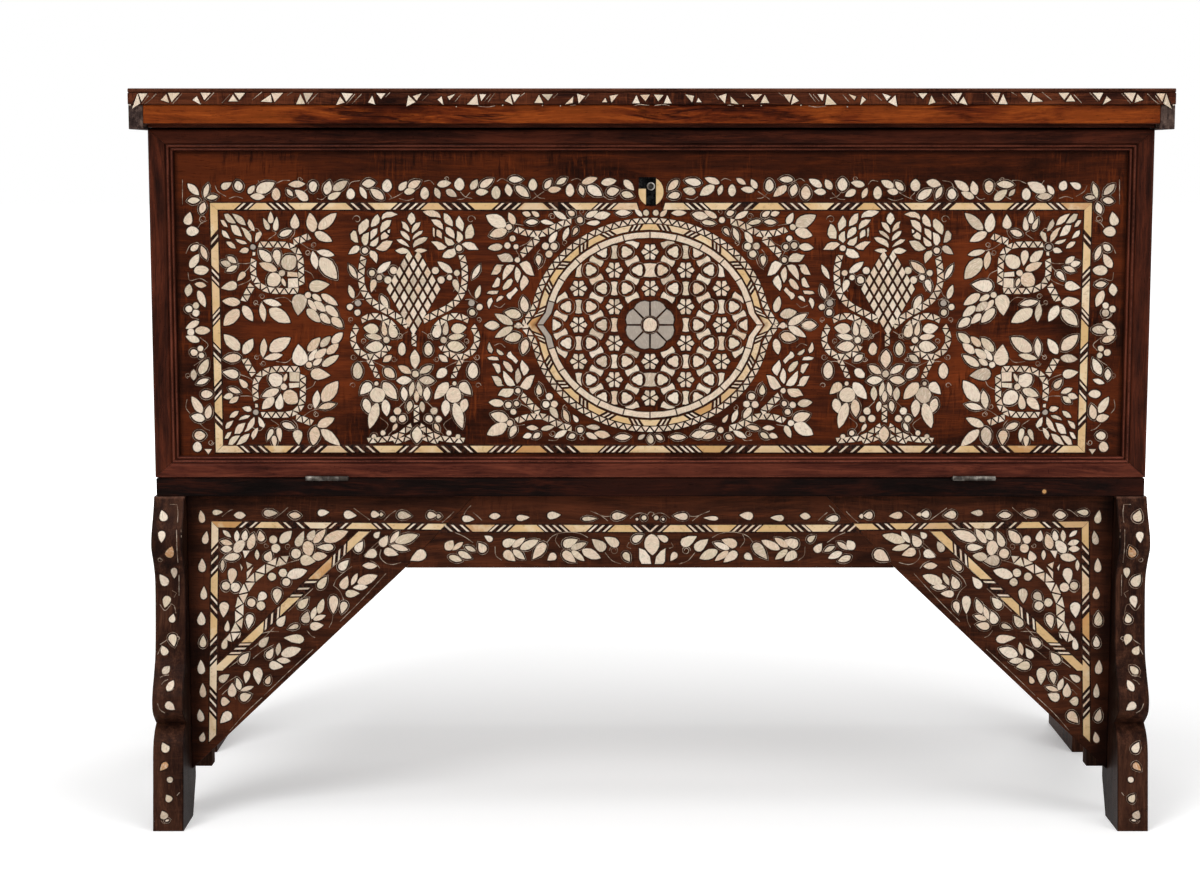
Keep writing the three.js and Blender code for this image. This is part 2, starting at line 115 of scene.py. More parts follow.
class Paint:
    # a material's or the world's node tree
    def __init__(self, owner):
        self.owner = owner
        owner.use_nodes = True
        self.tree = owner.node_tree
        self.tree.nodes.clear()

    def node(self, kind, settings=None, sockets=None, out=0):
        made = self.tree.nodes.new(kind)
        for key, value in (settings or {}).items():
            if key == "stops":
                stops = made.color_ramp.elements
                while len(stops) < len(value):
                    stops.new(1.0)
                for stop, (place, colour) in zip(stops, value):
                    stop.position, stop.color = place, (*colour, 1)
            else:
                setattr(made, key, value)
        for key, value in (sockets or {}).items():
            if isinstance(value, Field):
                self.tree.links.new(value.socket, made.inputs[key])
            elif value is not None:
                made.inputs[key].default_value = value
        return Field(self, made.outputs[out] if made.outputs else None)

    def place(self, attribute=None):
        # object coordinates in metres, or a vector attribute of the piece's own
        if attribute:
            return self.node("ShaderNodeAttribute", dict(attribute_name=attribute), out="Vector")
        return self.node("ShaderNodeTexCoord", out="Object")

    def stretch(self, vector, scale, shift=(0, 0, 0), turn=(0, 0, 0)):
        return self.node("ShaderNodeMapping", None, {0: vector, 1: shift, 2: turn, 3: scale})

    def push(self, vector, other, amount):
        # vector plus amount times (other - 0.5)
        centred = self.node("ShaderNodeVectorMath", dict(operation="SUBTRACT"), {0: other, 1: (0.5,) * 3})
        scaled = self.node("ShaderNodeVectorMath", dict(operation="SCALE"), {0: centred, 3: amount})
        return self.node("ShaderNodeVectorMath", dict(operation="ADD"), {0: vector, 1: scaled})

    def axis(self, which):
        # one of the object coordinates
        return self.node("ShaderNodeSeparateXYZ", None, {0: self.place()}, out=which)

    def noise(self, vector, scale, detail=3.0, rough=0.5, colour=False):
        sockets = {"Vector": vector, "Scale": scale, "Detail": detail, "Roughness": rough}
        return self.node("ShaderNodeTexNoise", None, sockets, out="Color" if colour else 0)

    def step(self, value, low, high, start=0.0, end=1.0):
        # eased rise from start at low to end at high
        sockets = {0: value, 1: low, 2: high, 3: start, 4: end}
        return self.node("ShaderNodeMapRange", dict(interpolation_type="SMOOTHSTEP"), sockets)

    def peak(self, value, at, width):
        # 1 where the value is at, easing to 0 at that width away from it
        return self.step((value - at).size(), 0.0, width, 1.0, 0.0)

    def ramp(self, value, stops):
        # stops: places along the value and their colours as they look on screen
        stops = [(place, srgb(*colour)) for place, colour in stops]
        return self.node("ShaderNodeValToRGB", dict(stops=stops), {0: value})

    def mix(self, mask, first, second):
        first = (*first, 1) if isinstance(first, tuple) else first
        second = (*second, 1) if isinstance(second, tuple) else second
        return self.node("ShaderNodeMix", dict(data_type="RGBA"), {0: mask, 6: first, 7: second}, out=2)

    def number(self, attribute):
        return self.node("ShaderNodeAttribute", dict(attribute_name=attribute), out="Fac")

    def bump(self, height, depth):
        return self.node("ShaderNodeBump", None, {"Height": height, "Strength": 1.0, "Distance": depth})

    def finish(self, colour, rough, normal=None, **fixed):
        sockets = {"Base Color": colour, "Roughness": rough, "Normal": normal}
        for name, value in fixed.items():
            sockets[name.replace("_", " ")] = value
        shader = self.node("ShaderNodeBsdfPrincipled", None, sockets)
        self.node("ShaderNodeOutputMaterial", None, {"Surface": shader})
        return self.owner


def srgb(red, green, blue):
    # a colour written as it looks on screen, 0 to 255, turned into light
    parts = (np.array([red, green, blue]) / 255).tolist()
    return tuple(p / 12.92 if p < 0.04045 else ((p + 0.055) / 1.055) ** 2.4 for p in parts)


# Woods: dark, middle and light are the figure's colours, and calm softens the change from one to the next.
# Grime darkens in patches, marks are strokes of the scraper across the grain, and cracks run with it.
woods = dict(
    panel=dict(
        dark=(36, 16, 9), middle=(76, 33, 16), light=(124, 55, 23), calm=1.5, grime=0.8, marks=1.0, rough=0.5,
    ),
    frame=dict(dark=(29, 13, 9), middle=(57, 26, 17), light=(92, 43, 27), grime=0.5, rough=0.36),
    foot=dict(dark=(42, 18, 13), middle=(74, 34, 25), light=(108, 54, 38), grime=0.35, rough=0.36),
    batten=dict(dark=(48, 16, 7), middle=(98, 39, 15), light=(154, 74, 26), grime=0.7, cracks=1, rough=0.45),
    board=dict(dark=(28, 12, 8), middle=(54, 26, 15), light=(86, 46, 28), grime=0.4, cracks=0.5, rough=0.5),
    band=dict(dark=(26, 11, 8), middle=(56, 26, 16), light=(104, 54, 32), grime=0.85, marks=0.9, rough=0.5),
    cleat=dict(dark=(28, 20, 19), middle=(58, 45, 42), light=(112, 92, 82), grime=0.5, marks=1.0, rough=0.7),
    rail=dict(dark=(10, 5, 4), middle=(20, 9, 7), light=(54, 23, 14), grime=0.7, cracks=0.5, rough=0.42),
    stand=dict(
        dark=(27, 13, 9), middle=(57, 29, 17), light=(94, 48, 28), calm=1.3, grime=0.65, marks=0.5,
        rough=0.48,
    ),
    leg=dict(dark=(23, 12, 9), middle=(48, 27, 19), light=(84, 52, 37), grime=0.6, marks=0.3, rough=0.45),
    block=dict(dark=(24, 15, 12), middle=(54, 35, 26), light=(92, 64, 46), grime=0.6, marks=0.6, rough=0.8),
    inside=dict(dark=(62, 40, 25), middle=(104, 70, 45), light=(144, 102, 68), grime=0.4, rough=0.7),
)
grainTurns = dict(x=(0, 0, 0), y=(0, 0, math.pi / 2), z=(0, math.pi / 2, 0))
mouldingShadingAndWear = dict(  # middle and width, or start and end: shares of a moulding's width, from its outer edge
    # beads and arris: wear with a painted highlight; grooves and heel: dirt with painted shade; the strip
    # under the lid: a painted shadow of the lid's batten
    beads=[(0.765, 0.05), (0.918, 0.035)],
    grooves=[(0.685, 0.03), (0.843, 0.022)],
    heel=(0.95, 0.99),
    lidShadow=(0.16, 0.02),
    arris=(0.05, 0.06),
)
panelGrimeAndShade = dict(  # millimetres, and shares of full dirt
    rim=(110, 50), rimDirt=0.6, topAndFoot=6,
    bare=[(380, 28), (192, 20)], fieldDirt=0.28,  # cleaner strips at these distances from the middle
    # rebate: a painted shade, with dirt, against the moulding
    rebate=(10, 1),
)
# foot: painted shade along a lower edge; top: lighter along the top edge; bracket and legSide: painted shade
# beside the front legs, with stain
boardShadeAndWear = dict(foot=(1.5, 0.3), top=(-3.5, -1), bracket=(-26, -2), legSide=(2, 0.6))  # millimetres


def within(paint, value, base, edges):
    # eased rise from the first place to the second, given in millimetres from the base
    start, end = edges
    return paint.step(value, base + start * mm, base + end * mm)


def mouldingMarks(paint, name, low, high):
    # beads and the outer arris are lighter: wear with a painted highlight; grooves and the inner edge are
    # darker: dirt with painted shade; the strip under the lid holds a painted shadow of its batten
    sides = dict(top=("Z", high.z, -1), bottom=("Z", low.z, 1), left=("X", low.x, 1), right=("X", high.x, -1))
    axis, edge, way = sides[name.split("_")[1]]
    width = high.z - low.z if axis == "Z" else high.x - low.x
    across = (paint.axis(axis) - edge) * (way / width)
    wearAndSheen = sum(paint.peak(across, *bead) for bead in mouldingShadingAndWear["beads"])
    dirtAndShade = sum(paint.peak(across, *groove) for groove in mouldingShadingAndWear["grooves"])
    dirtAndShade = dirtAndShade + paint.step(across, *mouldingShadingAndWear["heel"])
    if name == "moulding_top":
        # a painted shadow cast by the lid's batten on the moulding's top strip
        dirtAndShade = dirtAndShade + paint.step(across, *mouldingShadingAndWear["lidShadow"])
    else:
        # the outer arris: wear with a painted highlight
        wearAndSheen = wearAndSheen + paint.peak(across, *mouldingShadingAndWear["arris"]) * 0.5
    return wearAndSheen.least(1.0), dirtAndShade.least(1.0)


def panelDirtAndShade(paint, low, high):
    # dirt lies along the board's edges and between the pieces; against the moulding a painted shade, with
    # dirt, darkens it most
    x, z = paint.axis("X"), paint.axis("Z")
    near = (z - low.z).least(high.z - z) + panelGrimeAndShade["topAndFoot"] * mm
    near = (x - low.x).least(high.x - x).least(near)
    bare = sum(paint.peak(x.size(), at * mm, width * mm) for at, width in panelGrimeAndShade["bare"])
    rim = within(paint, near, 0, panelGrimeAndShade["rim"]) * panelGrimeAndShade["rimDirt"]
    field = panelGrimeAndShade["fieldDirt"] - bare * panelGrimeAndShade["fieldDirt"]
    # a painted shade of the moulding, with dirt, along the rebate
    rebate = (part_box("moulding_top")[0].z - z).least(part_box("moulding_right")[0].x - x.size())
    return rim.most(field).most(within(paint, rebate, 0, panelGrimeAndShade["rebate"]))


def wearAndShadeOf(paint, name):
    # where a piece is lighter (wear, and a painted highlight on mouldings) and where it is darker (dirt and
    # painted shade), both 0 to 1, from its place in the frame
    low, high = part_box(name)
    if name.startswith("moulding"):
        return mouldingMarks(paint, name, low, high)
    wearAndSheen = dirtAndShade = None
    if name == "front_panel":
        dirtAndShade = panelDirtAndShade(paint, low, high)
    # a painted shade along the lower edge of the lid's batten and of the base rail
    if name in ("lid_batten", "front_base_rail"):
        dirtAndShade = within(paint, paint.axis("Z"), low.z, boardShadeAndWear["foot"])
    # lighter along the top edge
    if name in ("lid_board", "left_front_leg", "right_front_leg"):
        wearAndSheen = within(paint, paint.axis("Z"), high.z, boardShadeAndWear["top"])
    # a painted shade beside the front legs, on the brackets and on the legs' inner edge, with stain in it
    if name.endswith(("bracket", "front_leg")):
        aside = paint.axis("X").size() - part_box("right_front_leg")[0].x
        dirtAndShade = within(paint, aside, 0, boardShadeAndWear["bracket" if "bracket" in name else "legSide"])
    return wearAndSheen, dirtAndShade


def makeWood(name, along, seed, node):
    # noises drawn out along the grain: figure, fibres and pores, with stain and specks over them
    wood = dict(dict(calm=1.0, marks=0.0, cracks=0.0), **woods[name])
    paint = Paint(bpy.data.materials.new(f"{name}_wood_{node}"))
    board = paint.stretch(paint.place(), (1, 1, 1), (seed * 1.7, seed * 2.3, seed * 0.9), grainTurns[along])
    waver = paint.noise(board, 4.0, 2.0, colour=True)
    board = paint.push(board, waver, 0.03)
    figure = paint.noise(paint.stretch(board, (0.08, 1, 1)), 130.0, 5.0, 0.62)
    fibre = paint.noise(paint.stretch(board, (0.03, 1, 1)), 900.0, 3.0, 0.6)
    pores = paint.noise(paint.stretch(board, (0.045, 1, 1)), 1500.0, 2.0, 0.5)
    stain = paint.noise(paint.stretch(board, (0.45, 1, 1)), 11.0, 7.0, 0.66)
    specks = paint.noise(board, 380.0, 3.0, 0.6)
    light = srgb(*wood["light"])
    black = tuple(part * 0.4 for part in srgb(*wood["dark"]))

    below, above = 0.5 - 0.15 * wood["calm"], 0.5 + 0.16 * wood["calm"]
    stops = [(below, wood["dark"]), (0.5, wood["middle"]), (above, wood["light"])]
    colour = paint.ramp(figure * 0.65 + fibre * 0.35, stops)
    colour = paint.mix(paint.step(stain, 0.5, 0.36) * 0.4, colour, light)
    colour = paint.mix(paint.step(stain, 0.5, 0.66) * wood["grime"], colour, black)
    relief = fibre * 0.4 + figure * 0.4
    if wood["marks"]:
        strokes = paint.noise(paint.stretch(board, (1, 1, 0.1)), 300.0, 4.0, 0.65)
        patch = paint.step(paint.noise(board, 13.0, 3.0), 0.44, 0.6) * wood["marks"]
        colour = paint.mix(paint.step(strokes, 0.53, 0.68) * patch * 0.7, colour, light)
        colour = paint.mix(paint.step(strokes, 0.47, 0.33) * patch * 0.75, colour, black)
        relief = relief + strokes * patch * 0.8
    if wood["cracks"]:
        split = paint.noise(paint.stretch(board, (0.1, 1, 1)), 60.0, 4.0, 0.55)
        crack = paint.peak(split, 0.5, 0.04) * paint.step(stain, 0.4, 0.54) * wood["cracks"]
        colour = paint.mix(crack * 0.85, colour, black)
        relief = relief - crack * 2.0
    pore = paint.step(pores, 0.36, 0.26)
    colour = paint.mix(pore * 0.6, colour, black)
    # darker towards black where dirt and painted shade lie, lighter where wear and painted highlights lie
    wearAndSheen, dirtAndShade = wearAndShadeOf(paint, node)
    if dirtAndShade:
        colour = paint.mix(dirtAndShade * (0.45 + stain * 0.8).least(1.0) * 0.85, colour, black)
    if wearAndSheen:
        wornAndShining = tuple(part * 1.4 + 0.015 for part in light)
        colour = paint.mix(wearAndSheen * paint.step(figure + specks, 0.7, 1.2) * 0.75, colour, wornAndShining)
    colour = paint.mix(paint.step(specks, 0.62, 0.7) * paint.step(stain, 0.42, 0.6) * 0.8, colour, black)
    rough = wood["rough"] + (stain - 0.5) * 0.3 + pore * 0.2
    normal = paint.bump(relief - pore + specks * 0.25, 0.3 * mm)
    return paint.finish(colour, rough, normal, Specular_IOR_Level=0.03)


ironColours = dict(clean=(62, 56, 50), rusty=(30, 22, 18), bright=(176, 170, 160))
# the lock case, seen through the keyhole, is near-black, darker than any iron: a painted shade for the dark
# hole
lockShadeColours = dict(clean=(3, 3, 3), rusty=(6, 5, 5), bright=(13, 12, 11))
pinColours = dict(clean=(150, 146, 140), rusty=(92, 82, 74), bright=(216, 212, 206))


def makeIron(name, clean, rusty, bright):
    paint = Paint(bpy.data.materials.new(name))
    place = paint.place()
    rust = paint.noise(place, 190.0, 6.0, 0.65)
    wearAndSheen = paint.step(paint.noise(place, 60.0, 4.0), 0.45, 0.65)
    colour = paint.mix(paint.step(rust, 0.4, 0.6), srgb(*clean), srgb(*rusty))
    colour = paint.mix(wearAndSheen * 0.5, colour, srgb(*bright))
    rough = 0.62 - wearAndSheen * 0.25
    metal = 0.85 - paint.step(rust, 0.45, 0.6) * 0.5
    return paint.finish(colour, rough, paint.bump(rust, 0.3 * mm), Metallic=metal)


pearlColours = dict(
    tones=[
        (0.0, (188, 136, 86)), (0.06, (208, 178, 148)), (0.25, (222, 199, 176)), (0.45, (214, 194, 170)),
        (0.62, (231, 214, 195)), (0.76, (210, 191, 163)), (0.88, (184, 164, 143)), (0.96, (158, 146, 134)),
    ],
    blush=(208, 180, 160), moss=(184, 177, 152), gleam=(240, 227, 208), vein=(154, 131, 106),
    edge=(46, 28, 19),
)
boneColours = dict(
    tones=[
        (0.0, (220, 188, 142)), (0.2, (212, 175, 123)), (0.4, (224, 196, 156)),
        (0.58, (206, 166, 112)), (0.74, (226, 203, 172)), (0.84, (190, 140, 86)),
    ],
    honey=(196, 160, 104), pale=(232, 218, 188), streak=(158, 116, 72), edge=(60, 38, 24),
)
masticColours = dict(dark=(24, 13, 9), light=(66, 36, 24))
wireColours = dict(dull=(106, 82, 66), bright=(172, 154, 136))


def makePearl():
    # tone picks the shell's colour, shell is the place on it in millimetres, rim is 1 along the sawn edge
    paint = Paint(bpy.data.materials.new("mother_of_pearl"))
    keys = ("blush", "moss", "gleam", "vein", "edge")
    blush, moss, gleam, vein, edge = (srgb(*pearlColours[key]) for key in keys)
    tone, rim = paint.number("tone"), paint.number("rim")
    place = paint.place("shell")
    bent = paint.push(place, paint.noise(place, 0.09, 3.0, colour=True), 7.0)
    growth = paint.noise(paint.stretch(bent, (0.3, 1.6, 1)), 0.55, 4.0, 0.6)
    cloud = paint.noise(bent, 0.16, 3.0)
    lively = paint.step(tone, 0.92, 0.9, 0.25, 1.0)
    colour = paint.ramp(tone, pearlColours["tones"])
    colour = paint.mix(paint.step(cloud, 0.5, 0.66) * 0.4 * lively, colour, blush)
    colour = paint.mix(paint.step(cloud, 0.46, 0.34) * 0.35 * lively, colour, moss)
    colour = paint.mix(paint.step(growth, 0.52, 0.66) * 0.55 * lively, colour, gleam)
    colour = paint.mix(paint.step(growth, 0.46, 0.32) * 0.5 * lively, colour, vein)
    colour = paint.mix(paint.step(rim, 0.15, 0.8) * 0.85, colour, edge)
    rough = 0.25 + growth * 0.25 + rim * 0.4
    return paint.finish(colour, rough, paint.bump(growth, 0.12 * mm), Specular_IOR_Level=0.3)


def makeBone():
    paint = Paint(bpy.data.materials.new("yellowed_bone"))
    honey, pale, streak, edge = (srgb(*boneColours[key]) for key in ("honey", "pale", "streak", "edge"))
    tone, rim = paint.number("tone"), paint.number("rim")
    place = paint.place()
    streaks = paint.noise(paint.stretch(place, (1, 1, 1.5)), 190.0, 5.0, 0.62)
    patches = paint.noise(place, 30.0, 4.0, 0.6)
    colour = paint.ramp(tone, boneColours["tones"])
    colour = paint.mix(paint.step(patches, 0.45, 0.65) * 0.5, colour, honey)
    colour = paint.mix(paint.step(patches, 0.45, 0.3) * 0.4, colour, pale)
    colour = paint.mix(paint.step(streaks, 0.54, 0.68) * 0.45, colour, streak)
    colour = paint.mix(paint.step(rim, 0.15, 0.8) * 0.8, colour, edge)
    return paint.finish(colour, 0.4 + streaks * 0.2, paint.bump(streaks, 0.12 * mm), Specular_IOR_Level=0.25)


def makeMastic():
    paint = Paint(bpy.data.materials.new("black_mastic"))
    grit = paint.noise(paint.place(), 300.0, 4.0, 0.62)
    dark, light = (srgb(*masticColours[key]) for key in ("dark", "light"))
    colour = paint.mix(paint.step(grit, 0.42, 0.62), dark, light)
    return paint.finish(colour, 0.6, paint.bump(grit, 0.15 * mm), Specular_IOR_Level=0.05)


def makeWire():
    paint = Paint(bpy.data.materials.new("pewter_wire"))
    shine = paint.noise(paint.place(), 110.0, 4.0, 0.6)
    dull, bright = (srgb(*wireColours[key]) for key in ("dull", "bright"))
    colour = paint.mix(paint.step(shine, 0.42, 0.62), dull, bright)
    return paint.finish(colour, 0.5, None, Metallic=0.2, Specular_IOR_Level=0.2)


woodFor = dict(  # a wood and the axis that its grain follows
    panel_x=["front_panel"],
    frame_x=["moulding_top", "top_rail"],
    frame_z=["moulding_left", "moulding_right"],
    frame_y=["left_side", "right_side"],
    foot_x=["moulding_bottom"],
    batten_x=["lid_batten"],
    board_x=["lid_board"],
    band_x=["lid_edge_band"],
    rail_x=["front_base_rail"],
    stand_x=["back_base_rail", "centre_apron", "back_apron", "back_panel", "left_bracket", "right_bracket"],
    stand_y=["left_base_rail", "right_base_rail", "left_side_apron", "right_side_apron"],
    leg_z=["left_front_leg", "right_front_leg", "left_rear_leg", "right_rear_leg"],
    cleat_y=["lid_left_cleat", "lid_right_cleat"],
    block_z=["left_front_block", "right_front_block", "left_rear_block", "right_rear_block"],
    inside_x=["bottom_board"],
)
softened = dict(width=1.0 * mm, segments=2, sharper=math.radians(32), weld=0.01 * mm)


def dressNodes():
    # every board gets its own wood; what is left over is iron, but for the lock and its plates
    iron = makeIron("worn_iron", **ironColours)
    bone = makeBone()
    coats = dict(
        escutcheon_left=bone, escutcheon_right=bone,
        lock_case=makeIron("shaded_lock_iron", **lockShadeColours), drill_pin=makeIron("polished_iron", **pinColours),
    )
    for key, names in woodFor.items():
        wood, along = key.split("_")
        for seed, name in enumerate(names):
            coats[name] = makeWood(wood, along, seed + 1, name)
    for name, node in nodes.items():
        node.data.materials.clear()
        node.data.materials.append(coats.get(name, iron))


def softenEdges():
    for name, node in nodes.items():
        if "hinge" in name or "pin" in name:
            continue
        weld = node.modifiers.new("weld", "WELD")
        weld.merge_threshold = softened["weld"]
        bevel = node.modifiers.new("worn edges", "BEVEL")
        bevel.width = softened["width"]
        bevel.segments = softened["segments"]
        bevel.limit_method = "ANGLE"
        bevel.angle_limit = softened["sharper"]


dressNodes()
softenEdges()
print("woods and iron laid on")


# Inlay. Every piece is sawn to an outline and let into the wood, a little proud of it.
inlayDepths = dict(
    pearl=dict(proud=0.3, sink=0.5, chamfer=0.8),
    bone=dict(proud=0.3, sink=0.5, chamfer=0.5),
    mastic=dict(proud=0.1, sink=0.5, chamfer=0.3),
    wire=dict(proud=0.24, sink=0.4),
)  # millimetres
spread = dict(mastic=1.45, loopIn=1.75, loopOut=2.25, loopBed=3.1, wire=0.75, margin=0.2)  # millimetres
rounding = dict(kept=0.3, drop=0.07, crown=1.1)  # least share of a reach kept; shares of chamfer and proud
uneven = dict(
    wobble=0.035, width=0.03,  # shares of a piece's size
    drift=0.25, slips=0.35,  # pixels
    looped=0.4,  # share of the pieces
    lift=0.3, wire=0.04,  # millimetres
    stagger=0.618,  # spreads the lifts over pieces that follow each other
)
forms = dict(leaf=(0.75, 0.35), lens=(0.9, 0.9), drop=(1.0, 0.0), bud=(0.3, 0.1), scale=(0.6, 0.25))
corners = 14  # points of a curved outline
shades = dict(amber=0.0, grey=0.98)  # tones at the ends of the shell's range
stripeForm = dict(slip=1.35, lean=0.55, bed=1.2, bedLean=1.3, bedWider=2.6)  # pixels, and shares of the width
toothGap = 1.15  # pixels sawn off each corner of a triangle
curlForm = dict(points=16, winds=0.6)


class Face:
    # an upright face seen from the front: pixels find their place on it, height stands out from it
    def __init__(self, depth):
        self.depth = depth

    def place(self, pixels):
        return toPlane(pixels, self.depth)

    def ground(self, x, z, height):
        return np.stack(np.broadcast_arrays(x, self.depth - height, z), -1)


class CurvedFace:
    # a leg's front edge: its depth follows the height z, as the frame's leg has it
    def __init__(self, leg):
        points = np.array([leg.matrix_world @ vertex.co for vertex in leg.data.vertices])
        front = points[points[:, 1] < points[:, 1].max() - 30 * mm]  # without the back edge
        self.levels = np.unique(front[:, 2].round(6))
        self.depths = np.array([front[np.abs(front[:, 2] - z) < 1e-5, 1].min() for z in self.levels])

    def depthAt(self, z):
        return np.interp(z, self.levels, self.depths)

    def place(self, pixels):
        # the ray's place depends on the depth there, so it is found in a few rounds
        depth = self.depths.mean()
        for _ in range(8):
            spots = toPlane(pixels, depth)
            depth = self.depthAt(spots[:, 1])
        return spots

    def ground(self, x, z, height):
        slope = (self.depthAt(z + mm) - self.depthAt(z - mm)) / (2 * mm)
        size = np.sqrt(1 + slope**2)
        depth = self.depthAt(z) - height / size
        return np.stack(np.broadcast_arrays(x, depth, z + height * slope / size), -1)


def clockwise(outlines):
    # true for each outline whose corners run clockwise, by the sign of its area
    turned = np.roll(outlines, -1, 1)
    return (outlines[..., 0] * turned[..., 1] - outlines[..., 1] * turned[..., 0]).sum(1)[:, None, None] < 0


def sawnPieces(outlines, form):
    # a surface of two parameters: around the outline, and in from the buried foot to the crowned middle
    count, around = outlines.shape[:2]
    outlines = np.where(clockwise(outlines), outlines[:, ::-1], outlines)
    middle = outlines.mean(1, keepdims=True)
    away = outlines - middle
    reach = np.linalg.norm(away, axis=2, keepdims=True)
    inner = middle + away * np.clip(1 - form["chamfer"] * mm / reach, rounding["kept"], 1)
    spots = np.concatenate([outlines, outlines, inner, middle], 1)
    rim = form["proud"] - form["chamfer"] * rounding["drop"]
    levels = np.repeat([-form["sink"], rim, form["proud"]], around)
    levels = np.append(levels, form["proud"] * rounding["crown"]) * mm
    first = np.arange(count)[:, None] * (3 * around + 1)
    here, after = np.arange(around), np.roll(np.arange(around), -1)
    walls = [np.stack([r + here, r + after, r + around + after, r + around + here], 1) for r in (0, around)]
    walls = (first[:, :, None] + np.concatenate(walls)).reshape(-1, 4)
    fan = np.stack([2 * around + here, 2 * around + after, np.full(around, 3 * around)], 1)
    fan = (first[:, :, None] + fan).reshape(-1, 3)
    foot = first + here[::-1]
    return spots, levels, [walls, fan, foot]


def buildMesh(name, points, faces, material, body, extra=None):
    # faces: arrays of face rows, each array with its own number of corners
    mesh = bpy.data.meshes.new(name)
    mesh.vertices.add(len(points))
    mesh.vertices.foreach_set("co", np.ascontiguousarray(points, np.float32).ravel())
    sides = np.concatenate([np.full(len(rows), rows.shape[1]) for rows in faces])
    mesh.loops.add(int(sides.sum()))
    mesh.loops.foreach_set("vertex_index", np.concatenate([rows.ravel() for rows in faces]).astype(np.int32))
    mesh.polygons.add(len(sides))
    mesh.polygons.foreach_set("loop_start", np.append(0, np.cumsum(sides)[:-1]).astype(np.int32))
    for key, values in (extra or {}).items():
        kind, field = ("FLOAT_VECTOR", "vector") if values.ndim == 2 else ("FLOAT", "value")
        mesh.attributes.new(key, kind, "POINT").data.foreach_set(field, values.astype(np.float32).ravel())
    mesh.update(calc_edges=True)
    mesh.materials.append(material)
    piece = bpy.data.objects.new(name, mesh)
    bpy.context.scene.collection.objects.link(piece)
    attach(piece, body)


